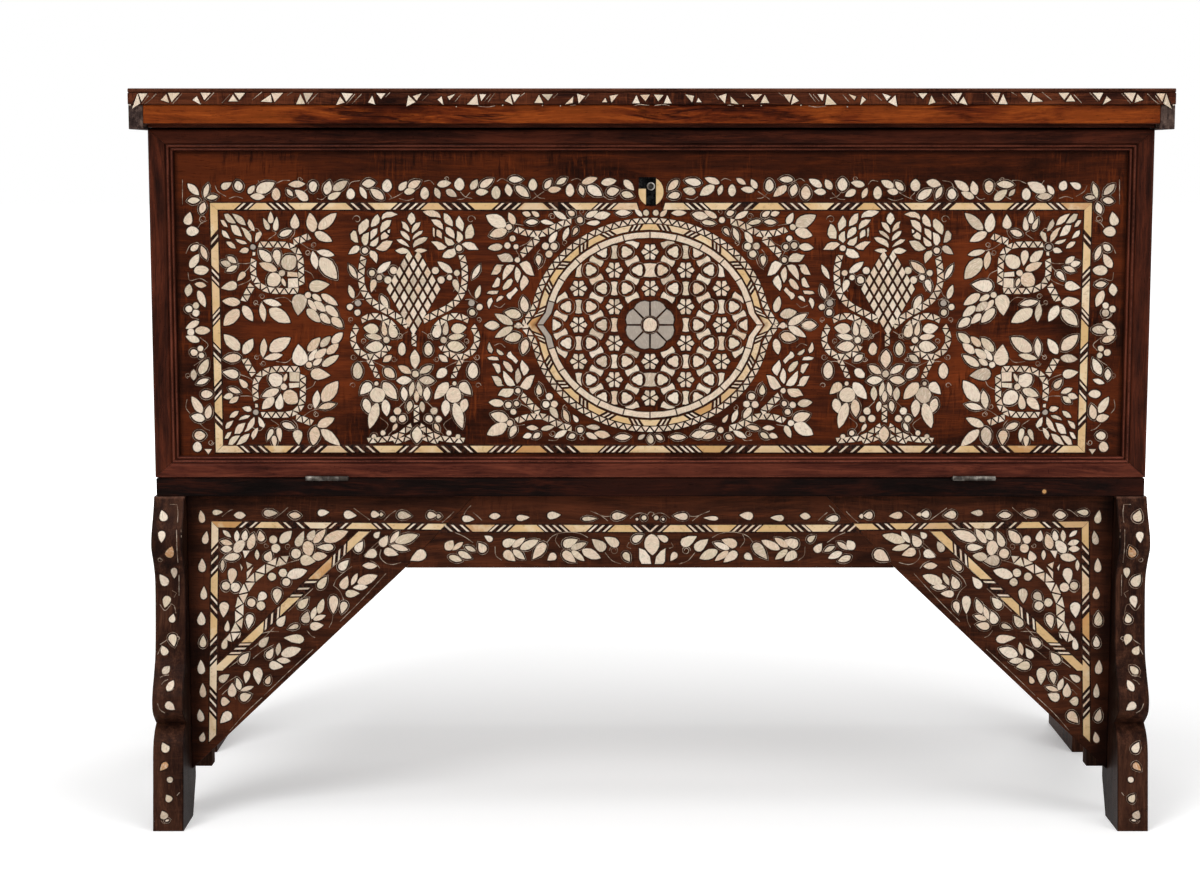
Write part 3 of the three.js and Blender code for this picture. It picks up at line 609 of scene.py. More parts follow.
class Inlay:
    # gathers the pieces let into one board, then makes a mesh of each stuff
    def __init__(self, name, body, face, board=None, seed=1, tones=(0.06, 0.88)):
        self.name, self.body, self.face, self.tones = name, body, face, tones
        # beds and rings stay on the board, or on its mirror image
        self.low, self.high = np.full(2, -np.inf), np.full(2, np.inf)
        if board:
            low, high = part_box(board)
            self.low = np.array([low.x if low.x > 0 else -np.inf, low.z])
            self.high = np.array([high.x, high.z])
        self.chance = np.random.default_rng(seed)
        self.parts = dict(pearl=[], bone=[], mastic=[])
        self.ribbons = []

    def place(self, pixels):
        pixels = np.asarray(pixels, float)
        return self.face.place(pixels.reshape(-1, 2)).reshape(pixels.shape)

    def cut(self, outlines, stuff="pearl", tone=None, bed=True, loop=False):
        # outlines: pieces, points, (x, z) in metres
        count = len(outlines)
        tones = self.chance.uniform(*self.tones, count) if tone is None else np.full(count, tone)
        self.parts[stuff].append((outlines, tones))
        if bed:
            self.parts["mastic"].append((self.held(grown(outlines, spread["mastic"])), tones))
        if loop:
            self.rings(outlines)

    def held(self, outlines):
        # outlines pulled back to the board
        side = np.where(outlines[..., :1] < 0, (-1, 1), (1, 1))
        margin = spread["margin"] * mm
        return np.clip(outlines * side, self.low + margin, self.high - margin) * side

    def rings(self, outlines):
        # a wire round some of the pieces, where the board has room for it
        wide = grown(outlines, spread["loopBed"])
        fits = (wide == self.held(wide)).all((1, 2))
        chosen = fits & (self.chance.random(len(outlines)) < uneven["looped"])
        if chosen.any():
            inner, outer = (grown(outlines[chosen], spread[key]) for key in ("loopIn", "loopOut"))
            self.ribbons.append(ringStrip(inner, outer))
            self.parts["mastic"].append((wide[chosen], np.zeros(len(inner))))

    def leaves(self, rows, form, copies, tone=None):
        # rows: base x, base y, tip x, tip y, width, in pixels. Along the leaf its outline goes as half of
        # 1 + cosine, across it as the sine, narrowed towards tip and base by a power each
        rows = np.array(rows, float)
        tip, base = forms[form]
        turn = np.linspace(0, 2 * np.pi, corners, endpoint=False)
        along = (1 + np.cos(turn)) / 2
        side = np.sin(turn) * np.abs(np.sin(turn / 2)) ** tip * np.abs(np.cos(turn / 2)) ** base
        side = side / np.abs(side).max() / 2
        for copy in copies:
            low, high = rows[:, None, 0:2], rows[:, None, 2:4]
            low = low + self.chance.normal(0, uneven["drift"], low.shape)
            high = high + self.chance.normal(0, uneven["drift"], high.shape)
            axis = high - low
            across = axis[..., ::-1] * (1, -1) / np.linalg.norm(axis, axis=2, keepdims=True)
            width = rows[:, 4, None] * (1 + self.chance.normal(0, uneven["width"], (len(rows), 1)))
            wobble = 1 + self.chance.normal(0, uneven["wobble"], (len(rows), corners))
            points = low + along[:, None] * axis + (side * width * wobble)[..., None] * across
            self.cut(copy(self.place(points)), tone=tone, loop=True)

    def rounds(self, rows, copies, tone=None):
        # rows: middle x, middle y, radius, in pixels; the radius wobbles a little round the circle
        rows = np.array(rows, float)
        for copy in copies:
            wobble = 1 + self.chance.normal(0, uneven["wobble"], (len(rows), corners, 1))
            points = rows[:, None, :2] + rows[:, 2, None, None] * circle(corners) * wobble
            self.cut(copy(self.place(points)), tone=tone, loop=True)

    def blocks(self, shapes, copies, stuff="pearl", tone=None):
        # shapes: lists of corner pixels
        for shape in shapes:
            for copy in copies:
                self.cut(copy(self.place([shape])), stuff, tone)

    def zigzags(self, rows, copies):
        # rows: path pixels, band width, length of a triangle; triangles stand and hang in turn
        for path, width, pitch in rows:
            for copy in copies:
                self.cut(copy(self.place(triangles(path, width, pitch))))

    def strings(self, paths, copies):
        # wires along curves through the path's pixels
        for path in paths:
            for copy in copies:
                self.ribbons.append(pathStrip(copy(self.place(curve(path)))))

    def curls(self, rows, copies):
        # rows: middle x, middle y, radius, start angle in degrees, turns; the radius shrinks along the turn
        for x, y, radius, start, turns in rows:
            turn = np.linspace(0, 1, curlForm["points"])
            angle = np.radians(start) + turn * turns * 2 * np.pi
            reach = radius * (1 - curlForm["winds"] * turn)
            path = np.stack([x + reach * np.cos(angle), y + reach * np.sin(angle)], 1)
            for copy in copies:
                self.ribbons.append(pathStrip(copy(self.place(path))))

    def draw(self, motif, copies):
        for form in forms:
            if form in motif:
                self.leaves(motif[form], form, copies)
        if "round" in motif:
            self.rounds(motif["round"], copies)
        if "amber" in motif:
            self.leaves(motif["amber"], "drop", copies, shades["amber"])
        if "grey" in motif:
            self.rounds(motif["grey"], copies, shades["grey"])
        self.blocks(motif.get("block", []), copies)
        self.zigzags(motif.get("zigzag", []), copies)
        self.strings(motif.get("string", []), copies)
        self.curls(motif.get("curl", []), copies)

    def stripe(self, start, end, gaps, width, copies, lean=1, ends=(0, 0)):
        # bone blocks, broad edge out and in by turns, and leaning slips of shell in the gaps between them;
        # gaps: where each begins and ends, in pixels along the stripe, and how many slips it holds
        start, end = np.array(start, float), np.array(end, float)
        length = np.linalg.norm(end - start)
        axis = (end - start) / length
        across = axis[::-1] * (1, -1)

        def quads(a, leanA, b, leanB, wide=width):
            rows = np.stack([a - leanA, b - leanB, b + leanB, a + leanA], -1)[..., None] * axis
            return start + rows + np.array([-1, -1, 1, 1])[:, None] * (wide / 2) * across

        froms, tos = np.array(gaps, float)[:, :2].T
        counts = [count for _, _, count in gaps]
        leaning = lean * (-1.0) ** np.arange(len(gaps)) * width * stripeForm["lean"]
        first, last = np.array(ends) * width / 2
        lows, highs = np.append(0, tos), np.append(froms, length)
        bones = quads(lows, np.append(first, leaning), highs, np.append(leaning, last))
        share = np.concatenate([(np.arange(count) + 0.5) / count for count in counts])
        at = np.repeat(froms, counts) + share * np.repeat(tos - froms, counts)
        at = at + self.chance.normal(0, uneven["slips"], len(at))
        slipLean = np.repeat(leaning, counts)
        slips = quads(at - stripeForm["slip"], slipLean, at + stripeForm["slip"], slipLean)
        spare, steeper = stripeForm["bed"], stripeForm["bedLean"]
        bed = quads(np.array([-spare]), first * steeper, np.array([length + spare]), last * steeper,
                    width + stripeForm["bedWider"])
        for copy in copies:
            self.cut(copy(self.place(bones[highs - lows > 1])), "bone", bed=False)
            self.cut(copy(self.place(slips)), bed=False)
            self.parts["mastic"].append((copy(self.place(bed)), np.zeros(1)))

    def buildPieces(self, stuff, finish):
        places, faces, tones, shells, rims, start, made = [], [], [], [], [], 0, 0
        for outlines, tone in self.parts[stuff]:
            spots, levels, rows = sawnPieces(outlines, inlayDepths[stuff])
            count, each = spots.shape[:2]
            # pieces that follow each other differ in height, so that each keeps its edge where two meet
            order = np.arange(made, made + count)[:, None] * (stuff != "mastic")
            height = levels + order * uneven["stagger"] % 1 * uneven["lift"] * mm * (levels > 0)
            places.append(self.face.ground(spots[..., 0], spots[..., 1], height).reshape(-1, 3))
            faces += [row + start for row in rows]
            tones.append(np.repeat(tone, each))
            rims.append(np.tile(np.arange(each) < 2 * outlines.shape[1], count))
            shells.append(shellPlaces(spots, self.chance))
            start += count * each
            made += count
        tones, shells, rims, places = (np.concatenate(rows) for rows in (tones, shells, rims, places))
        extra = dict(tone=tones, shell=shells, rim=rims) if stuff != "mastic" else None
        buildMesh(f"{self.name}_{stuff}", places, faces, finish, self.body, extra)

    def buildWires(self, finish):
        places, faces, start = [], [], 0
        for spots, level, rows in self.ribbons:
            height = level + self.chance.uniform(0, uneven["wire"] * mm)
            places.append(self.face.ground(spots[..., 0], spots[..., 1], height).reshape(-1, 3))
            faces.append(rows + start)
            start += len(places[-1])
        buildMesh(f"{self.name}_wire", np.concatenate(places), faces, finish, self.body)

    def build(self, finishes):
        for stuff, parts in self.parts.items():
            if parts:
                self.buildPieces(stuff, finishes[stuff])
        if self.ribbons:
            self.buildWires(finishes["wire"])
        counts = {stuff: sum(len(outlines) for outlines, _ in parts) for stuff, parts in self.parts.items()}
        print("  inlay:", self.name, counts)


def same(places):
    return places


def mirrored(places, plumb=0):
    # left to right about the upright line at x = plumb
    return places * (-1, 1) + (2 * plumb, 0)


def fourWays(level):
    # as drawn, mirrored left to right, upside down about that level, and both
    def upended(places):
        return places * (1, -1) + (0, 2 * level)

    return [same, mirrored, upended, lambda places: mirrored(upended(places))]


def grown(outlines, margin):
    # each outline pushed outwards from its middle, by millimetres
    middle = outlines.mean(1, keepdims=True)
    away = outlines - middle
    reach = np.linalg.norm(away, axis=2, keepdims=True)
    return middle + away * (1 + margin * mm / reach)


def shellPlaces(spots, chance):
    # millimetres within each piece, turned and shifted by chance, so that no two show the same shell
    count = len(spots)
    turn = chance.uniform(0, 2 * np.pi, count)[:, None]
    shift = chance.uniform(0, 400, (count, 1, 3))
    local = (spots - spots.mean(1, keepdims=True)) / mm
    x = local[..., 0] * np.cos(turn) - local[..., 1] * np.sin(turn)
    y = local[..., 0] * np.sin(turn) + local[..., 1] * np.cos(turn)
    return (np.stack([x, y, x * 0], -1) + shift).reshape(-1, 3)


def circle(count):
    # cosine and sine of evenly spaced turns
    turn = np.linspace(0, 2 * np.pi, count, endpoint=False)
    return np.stack([np.cos(turn), np.sin(turn)], 1)


def curve(points, steps=6):
    # a smooth line through the points: each stretch is a cubic bent by its neighbours
    points = np.array(points, float)
    if len(points) == 2:
        return points
    padded = np.concatenate([2 * points[:1] - points[1:2], points, 2 * points[-1:] - points[-2:-1]])
    a, b, c, d = padded[:-3, None], padded[1:-2, None], padded[2:-1, None], padded[3:, None]
    t = np.linspace(0, 1, steps, endpoint=False)[:, None]
    bent = b + (c - a) / 2 * t + (a - 2.5 * b + 2 * c - d / 2) * t**2
    bent = bent + (1.5 * b - a / 2 - 1.5 * c + d / 2) * t**3
    return np.concatenate([bent.reshape(-1, 2), points[-1:]])


def walk(path):
    # gives the point at a distance along a path, and the path's length
    path = curve(path)
    run = np.append(0, np.cumsum(np.linalg.norm(np.diff(path, axis=0), axis=1)))
    return lambda at: np.stack([np.interp(at, run, path[:, 0]), np.interp(at, run, path[:, 1])], -1), run[-1]


def triangles(path, width, pitch):
    # triangle k stands on one edge of the band, k + 1 hangs from the other
    where, length = walk(path)
    count = max(2, round(length / (pitch / 2)))
    at = (np.arange(count) + 0.5) * length / count
    step = length / count
    ahead = where(np.minimum(at + 0.5, length)) - where(np.maximum(at - 0.5, 0))
    across = (ahead / np.linalg.norm(ahead, axis=1, keepdims=True))[:, ::-1] * (1, -1)
    side = ((-1.0) ** np.arange(count))[:, None]
    foot = across * side * width / 2
    start, end = where(np.clip(at - step, 0, length)), where(np.clip(at + step, 0, length))
    shapes = np.stack([start - foot, end - foot, where(at) + foot], 1)
    middle = shapes.mean(1, keepdims=True)
    reach = np.linalg.norm(shapes - middle, axis=2, keepdims=True)
    return middle + (shapes - middle) * np.clip(1 - toothGap / reach, rounding["kept"], 1)


def ringStrip(inner, outer):
    # closed wires between pairs of outlines: four edges each, two sunk and two proud
    form = inlayDepths["wire"]
    count, around = inner.shape[:2]
    spots = np.stack([inner, outer, outer, inner], 1).reshape(count, 4 * around, 2)
    level = np.repeat([-form["sink"], -form["sink"], form["proud"], form["proud"]], around) * mm
    here, after = np.arange(around), np.roll(np.arange(around), -1)
    rows = []
    for low, high in ((0, 1), (1, 2), (2, 3), (3, 0)):
        low, high = low * around, high * around
        rows.append(np.stack([low + here, low + after, high + after, high + here], 1))
    rows = np.concatenate(rows)[None] + (np.arange(count) * 4 * around)[:, None, None]
    rows = np.where(clockwise(outer), rows, rows[..., ::-1])
    return spots, level, rows.reshape(-1, 4)


def pathStrip(path):
    # a flat wire carried along a path: half its width to either side, sunk edges and proud ones
    form = inlayDepths["wire"]
    ahead = np.gradient(path, axis=0)
    left = ahead[:, ::-1] * (-1, 1) / np.linalg.norm(ahead, axis=1, keepdims=True) * spread["wire"] * mm / 2
    spots = np.stack([path + left, path - left, path - left, path + left], 1).reshape(-1, 2)
    level = np.tile([-form["sink"], -form["sink"], form["proud"], form["proud"]], len(path)) * mm
    at = np.arange(len(path) - 1)[:, None] * 4
    rows = np.concatenate([at + [c, (c + 1) % 4, (c + 1) % 4 + 4, c + 4] for c in range(4)])
    last = 4 * (len(path) - 1)
    caps = np.array([[0, 3, 2, 1], [last, last + 1, last + 2, last + 3]])
    return spots, level, np.concatenate([rows, caps])


finishes = dict(pearl=makePearl(), bone=makeBone(), mastic=makeMastic(), wire=makeWire())
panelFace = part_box("front_panel")[0].y

cornerSquare = dict(
    lens=[
        (236.5, 263.5, 227, 257, 6), (238, 267, 226, 272, 5.5), (316, 251.5, 334, 256, 6.5),
        (263, 301.5, 282, 305.5, 6.5), (313, 251, 316, 270, 7.5), (262, 303, 264, 322.5, 7),
    ],
    scale=[
        (312, 295, 322, 301.5, 6), (321, 294.5, 338, 305.5, 8), (308, 300, 316.5, 311.5, 6),
        (314, 302, 326, 312, 8), (326, 306.5, 338.5, 317, 8.5), (307, 309, 320, 323, 9),
        (320, 314, 330.5, 324, 7.5), (331.5, 318, 343, 328, 8),
    ],
    leaf=[
        (231, 265.5, 221, 262.5, 6.5), (313, 233, 310, 213.5, 11), (318.5, 230, 337, 213.5, 10),
        (314.5, 233, 332, 242, 9), (320, 258.5, 337, 279.5, 14), (240, 303, 222, 301.5, 9),
        (239, 310, 223.5, 326, 12), (243, 306, 253, 322, 9.5), (269, 309.5, 290.5, 323, 13),
        (279.5, 236, 292, 231, 6.5), (271.5, 262.5, 259, 250.5, 9.5), (277, 271, 259.5, 263.5, 8.5),
    ],
    drop=[
        (244.5, 272.5, 237, 281.5, 6.5), (237, 285, 221, 288.5, 9.5), (269, 230.5, 263.5, 218.5, 5.5),
        (271, 224, 270.5, 211.5, 6), (275.5, 231.5, 277, 217, 6), (294.5, 229.5, 295, 214, 9.5),
        (276, 250, 278.5, 266.5, 8), (300, 294.5, 298, 316.5, 15), (309, 287, 330, 285, 12.5),
    ],
    bud=[(282.5, 268, 295.5, 256.5, 14.5), (279.5, 275, 268, 285.5, 14), (282, 279, 285.5, 287, 4)],
    grey=[(253, 247.5, 3)],
    round=[(282, 273.5, 3.4), (308, 295.5, 3.3)],
    block=[
        ((287.5, 272), (297.5, 273), (298, 277.5), (287, 277)),
        ((288, 279), (298, 278.5), (298.5, 288), (288, 288.5)),
        ((224, 214.5), (228, 214), (231, 216.5), (234, 220.5), (236.2, 224), (232, 224), (228, 222.5),
         (225.5, 219.5)),
        ((232, 214), (237, 215), (242, 217.5), (244.5, 221), (246.2, 226), (241, 225), (237, 222.3),
         (235, 219)),
        ((249, 219.5), (252, 222.5), (254.5, 228), (254.8, 232), (252, 231), (248.7, 227.5),
         (247.3, 223.5)),
        ((220.5, 220.5), (223.8, 220.5), (226.5, 224), (227.8, 227.8), (224, 227), (221.5, 223.5)),
        ((230.6, 225.5), (236, 225.5), (238.8, 228), (240.3, 231.5), (242.3, 237), (238, 236.3),
         (234.5, 235), (232, 231.5)),
        ((240.8, 227.3), (245, 228.8), (249, 232), (251.4, 236), (251.8, 240), (251.3, 243), (247.7, 240),
         (244.8, 236.3), (243.2, 231.5)),
        ((260.5, 231.5), (262, 234), (260.5, 238), (258, 241.3), (255.4, 243), (255, 238), (256.2, 233.5)),
        ((222, 230.5), (225.5, 231.5), (228, 234.5), (230.2, 239.3), (226.5, 238.3), (223.5, 237),
         (221.8, 233.5)),
        ((226.3, 242), (231, 242), (234.5, 245), (236, 249), (232, 248.8), (229, 247), (226.7, 244)),
        ((235.5, 239.4), (241, 240.4), (245, 241.7), (247.3, 244.3), (243, 244.9), (239.7, 243.8),
         (237, 242)),
        ((239.3, 252.3), (241.5, 249.3), (245, 247.7), (248.2, 248.6), (249.1, 250.5), (247.3, 253.6),
         (243, 253.8)),
        ((252.6, 252.2), (255.6, 252.6), (255.3, 256), (252.4, 256.4)),
    ],
    zigzag=[
        ([(257, 245), (270, 245), (283, 245), (292, 247), (299, 254), (301, 263), (301, 274),
          (302, 287)], 7, 9),
        ([(300, 291), (290, 291.5), (278, 291.5), (268, 290.5), (259, 286), (254, 279), (253, 268),
          (254, 258)], 7, 9),
        ([(292, 243), (301, 240), (311, 236)], 8, 9), ([(253, 284), (247, 295), (243, 303)], 8, 9),
    ],
    string=[
        [(272, 231), (276, 234), (268, 240)], [(300, 243), (309, 249), (320, 252)],
        [(295, 229), (294, 235), (290, 240)], [(238, 264), (247, 264), (254, 262)],
        [(244, 273), (249, 268), (252, 262)], [(238, 286), (248, 282), (254, 276)],
        [(255, 304), (262, 306), (262, 302)], [(249, 232), (257, 229), (262, 236)],
        [(303, 270), (311, 274), (314, 279)], [(275, 299), (285, 298), (292, 303)],
    ],
    curl=[
        (314, 245.5, 3, 90, 1.3), (308, 253, 3, 0, 1.3), (262, 297, 3, 180, 1.3), (256, 303, 2.6, 90, 1.2),
    ],
)


vase = dict(  # its left half; the right half mirrors it
    middle=415,
    lens=[
        (357, 279.5, 348.5, 265, 5), (411.5, 374, 398, 366, 7), (412, 380, 396, 381.5, 8.5),
        (413, 382, 410, 397, 5.5), (404, 387, 404.5, 401.5, 7), (383, 362.5, 392, 355.5, 6.5),
    ],
    leaf=[
        (377, 273.5, 391, 262, 7.5), (353.5, 299, 349, 285.5, 6), (379, 330, 363, 328, 11),
        (382, 338.5, 366, 336, 6.5), (383, 346, 365.5, 348, 11), (383, 383, 397, 399.5, 11),
        (365, 399, 369.5, 414, 9), (385, 400, 386.5, 417.5, 9), (377, 403, 369.5, 429, 10.5),
        (410, 401.5, 408.5, 412.5, 6), (397, 424, 393, 432, 4.5),
    ],
    drop=[
        (374.5, 280, 371, 293, 7), (395, 338, 390, 323, 9.5), (371, 384, 360, 395, 10),
        (385, 336, 383, 321, 6),
    ],
    bud=[(402, 356, 402, 343, 8.5), (358, 379, 357.5, 363, 10), (384.5, 369.5, 394, 378, 9)],
    round=[
        (372, 273.5, 3.2), (379.5, 278, 3), (388, 280.5, 3.8), (393.5, 271, 3.8), (350, 307.5, 3.3),
        (357.5, 313, 3.3), (386.5, 340.5, 3.4), (377.5, 395.5, 8), (376.5, 384, 2.3), (397.5, 411.5, 3.8),
        (393, 419.5, 3.5), (402.5, 419, 3.8), (374, 437, 2.6), (383, 433.5, 2.8),
    ],
    grey=[(358, 303.5, 3.4)],
    zigzag=[
        ([(358, 325), (353, 335), (354, 346), (362, 355), (372, 358), (383, 354), (390, 345)], 7, 9),
        ([(360, 322), (370, 316.5), (380, 317), (389, 322), (396, 330)], 7, 9),
        ([(368, 359), (372, 366), (376, 373), (378, 380)], 6, 8),
        ([(413, 425), (405, 431), (397, 437), (384, 440), (366, 441)], 6.5, 9),
        ([(412, 436), (404, 440), (392, 442.5)], 6, 9),
    ],
    string=[
        [(364, 300), (357, 300), (352, 303)], [(378, 270), (383, 276), (388, 277)],
        [(372, 277), (371, 284), (376, 292)], [(353, 300), (358, 296), (361, 290)],
        [(397, 341), (403, 335), (408, 332)], [(371, 361), (382, 366), (388, 370)],
        [(360, 362), (366, 362), (371, 365)], [(405, 402), (400, 407), (397, 411)],
        [(393, 416), (396, 426), (388, 436)], [(380, 418), (388, 425), (384, 432)],
    ],
    curl=[
        (353.5, 357.5, 3.2, 0, 1.2), (364, 341.5, 3, 90, 1.2), (400, 337, 3.4, 180, 1.1),
        (394, 359.5, 3, 0, 1.2), (353, 386, 3, 180, 0.9), (357, 220, 4.5, 180, 0.9),
        (351, 320, 2.8, 90, 1.2),
    ],
)
vaseMiddle = dict(  # what isn't the same on its two sides
    block=[
        ((353.5, 230.8), (355.8, 231.5), (357.5, 237), (358.3, 243.3), (355, 243), (351, 240),
         (350.3, 234.5)),
        ((366.8, 219), (369, 221), (369, 227), (366, 231), (362, 234), (359.6, 235.3), (358.1, 231),
         (358.5, 226), (362, 222)),
        ((377.7, 214.5), (380, 218.5), (379.3, 223.3), (376, 226.3), (371.3, 227.8), (370.7, 226),
         (372, 220.5), (375, 216.5)),
        ((397.8, 214.8), (391, 217.8), (386, 218.1), (382, 220.2), (381.5, 218), (383, 214.5), (387, 212.2),
         (392, 212.3)),
        ((391.5, 220.5), (389.7, 226.5), (386, 229.8), (382, 232.3), (380.5, 233), (380.3, 228),
         (382.2, 223), (387, 220.5)),
        ((369, 232.5), (368.8, 238), (368.1, 243.5), (366.3, 245.8), (364, 245.8), (361.6, 242),
         (361.5, 238), (363.5, 234.7)),
        ((377.5, 228.6), (377.2, 234), (374, 237.8), (370.5, 240.4), (370.2, 237), (370.5, 232),
         (373, 229.7)),
        ((378.6, 237.3), (378.3, 242.5), (376.3, 246.3), (373, 247.3), (369.7, 246), (370.7, 242.5),
         (375, 239.7)),
        ((385, 232.3), (387.5, 234.7), (389.3, 236), (387, 238.8), (381.2, 240.4), (380.7, 236),
         (382.5, 233.8)),
        ((390.2, 229.5), (389.8, 233.8), (387.9, 233.3), (387.2, 231)),
        ((392.8, 241.5), (390, 247), (386.5, 250.8), (383, 251.8), (379, 250.9), (375.6, 249.2),
         (379.2, 245.8), (382.6, 242.2), (387, 240.8)),
        ((370.6, 250.8), (375, 251.8), (377.5, 255), (377.8, 259.5), (376.6, 264), (373.1, 260.3),
         (370, 257), (369.2, 253)),
        ((359.3, 246.7), (359.8, 250), (357, 253.3), (353, 254.6), (348.3, 254.8), (350.5, 250),
         (353.5, 246.6), (356.5, 245.7)),
        ((422.7, 212), (427, 210.8), (433, 210.5), (438, 212.7), (440.2, 215.5), (441, 218.5),
         (436.5, 217.5), (430, 217.3), (425.5, 214.8)),
        ((443.7, 213.6), (447, 214.3), (450.5, 217.5), (452.8, 222), (453, 227), (449, 225.8), (445, 223.3),
         (443.6, 219.5)),
        ((459, 216), (461.5, 219.5), (464.1, 224), (463.8, 228), (462.6, 232), (459, 229.3), (455.8, 226.3),
         (455.7, 221)),
        ((471.5, 224.3), (473.8, 229.5), (474.4, 235), (472, 238.7), (465.5, 239.5), (464.9, 233),
         (466.5, 228.5), (468.5, 225.7)),
        ((431, 220.1), (436, 219.7), (440.3, 221.2), (442.8, 225), (443.3, 230.2), (438.5, 228),
         (434.2, 225)),
        ((446, 227.3), (450, 228), (453.6, 231), (454.8, 235), (454.6, 239.2), (450, 237), (446.2, 234),
         (445.2, 231)),
        ((457, 231.4), (460.4, 232.8), (463.1, 236), (463.1, 240.2), (458.6, 243.6), (456.3, 241),
         (456.8, 236)),
        ((436.8, 229.8), (440, 230.8), (442.2, 234), (441.8, 239.2), (436.4, 236.3), (436.2, 233)),
        ((433, 227.8), (434.8, 229), (434.6, 238), (433.2, 236.5), (432.6, 231)),
        ((444.4, 236.8), (448, 238.8), (452.3, 240.3), (454.8, 244), (453, 245.8), (448.2, 246.5),
         (445.2, 243)),
        ((431, 242), (437, 241.7), (441.3, 243.2), (447.2, 247.5), (443.5, 250.1), (438.5, 250.6),
         (436.2, 247.5)),
        ((454.6, 248.8), (456.3, 254.4), (454, 257.3), (449.5, 258.8), (445, 258.6), (442.2, 257.6),
         (443.7, 253.5), (448, 250)),
        ((461.6, 244.6), (465, 242.5), (470.5, 242.4), (474.5, 244.2), (477, 248), (478.7, 250.3),
         (468.5, 250.4), (465.7, 248.4)),
        ((411.5, 212.8), (414, 214.8), (415.6, 219), (414.8, 222.5), (411.2, 225.6), (408.7, 222.3),
         (407.2, 219.3), (408.6, 215.3)),
        ((401.4, 221.7), (405, 222.8), (407.8, 225.7), (409.5, 229.5), (409.5, 232.7), (405.5, 230.3),
         (402.5, 228.2), (402.5, 225)),
        ((420.6, 222.5), (419.6, 226.5), (417.3, 229.8), (413.5, 232.8), (411.8, 233.7), (411.7, 230),
         (413.2, 226.2), (416, 223.3)),
        ((400.3, 231.2), (404, 231.8), (407.3, 234.2), (409.6, 237.5), (410, 241.5), (405.5, 239.3),
         (402.2, 236.4), (400.7, 233.5)),
        ((423, 231), (421.8, 234), (419, 236.1), (414.5, 238.8), (412.4, 240.2), (413, 237), (415.2, 234.2),
         (419, 231.6)),
        ((396.5, 240.1), (401, 239.4), (405, 241.8), (407.8, 244.7), (409.8, 247.7), (405.5, 246.1),
         (401, 244.3), (398.5, 242.5)),
        ((427.8, 238.1), (425.8, 241.4), (422.3, 243.8), (417.5, 245.8), (413.2, 248.2), (413, 245),
         (414.7, 241.2), (419, 238.6), (424, 237.4)),
        ((395.2, 251), (399, 249), (403, 247.9), (407.3, 249.6), (409.6, 252), (406, 254.1), (401, 254.6),
         (397.5, 252.9)),
        ((414.4, 251.5), (417, 249.2), (421, 248.7), (424.5, 249.6), (427.3, 250.8), (424.5, 252.4),
         (421, 253.6), (417.6, 253.1)),
    ],
    leaf=[(381, 296, 388, 310, 6.5)],
    lens=[(415, 369, 415, 350, 9.5), (416.5, 391, 416.5, 403, 5.5), (417, 443.5, 417, 427, 10)],
    round=[(415.5, 374.5, 3.6), (365, 251, 3.3), (459, 248.6, 3.3)],
    zigzag=[
        ([(364, 256), (362, 266), (361, 277), (362, 287), (367, 297), (375, 305), (386, 311), (397, 317),
          (409, 328)], 7.5, 9),
        ([(461, 254), (464, 264), (465, 275), (464, 287), (461, 296), (453, 305), (443, 311), (433, 315.5),
          (422, 322)], 7.5, 9),
        ([(416.5, 404), (416.5, 414), (416.5, 424)], 6.5, 8), ([(414, 333), (414, 341), (414, 348)], 6, 7),
    ],
)
lattice = dict(  # lozenges of the vase's net, kept where they lie within its outline: levels and half widths
    middle=(413.5, 297.5),
    step=(4.68, 8.1),
    gap=(1.1, 1.9),
    count=8,
    outline=[
        (252, 2), (262, 11), (272, 18), (282, 24), (290, 27), (298, 25), (307, 19), (315, 13), (323, 7),
        (333, 3), (344, 0),
    ],
)


def netCells():
    # lozenges on a lattice whose two directions slope evenly to either side
    count = lattice["count"]
    i, j = (grid.ravel() for grid in np.mgrid[-count:count + 1, -count:count + 1])
    stepX, stepY = lattice["step"]
    middles = np.stack([(i - j) * stepX, (i + j) * stepY], 1) + lattice["middle"]
    levels, reach = np.array(lattice["outline"], float).T
    inside = np.abs(middles[:, 0] - lattice["middle"][0]) <= np.interp(middles[:, 1], levels, reach, 0, -1)
    inside &= (middles[:, 1] > levels[0]) & (middles[:, 1] < levels[-1])
    lozenge = np.array([(0, -1), (1, 0), (0, 1), (-1, 0)]) * (np.array(lattice["step"]) - lattice["gap"])
    return middles[inside][:, None] + lozenge


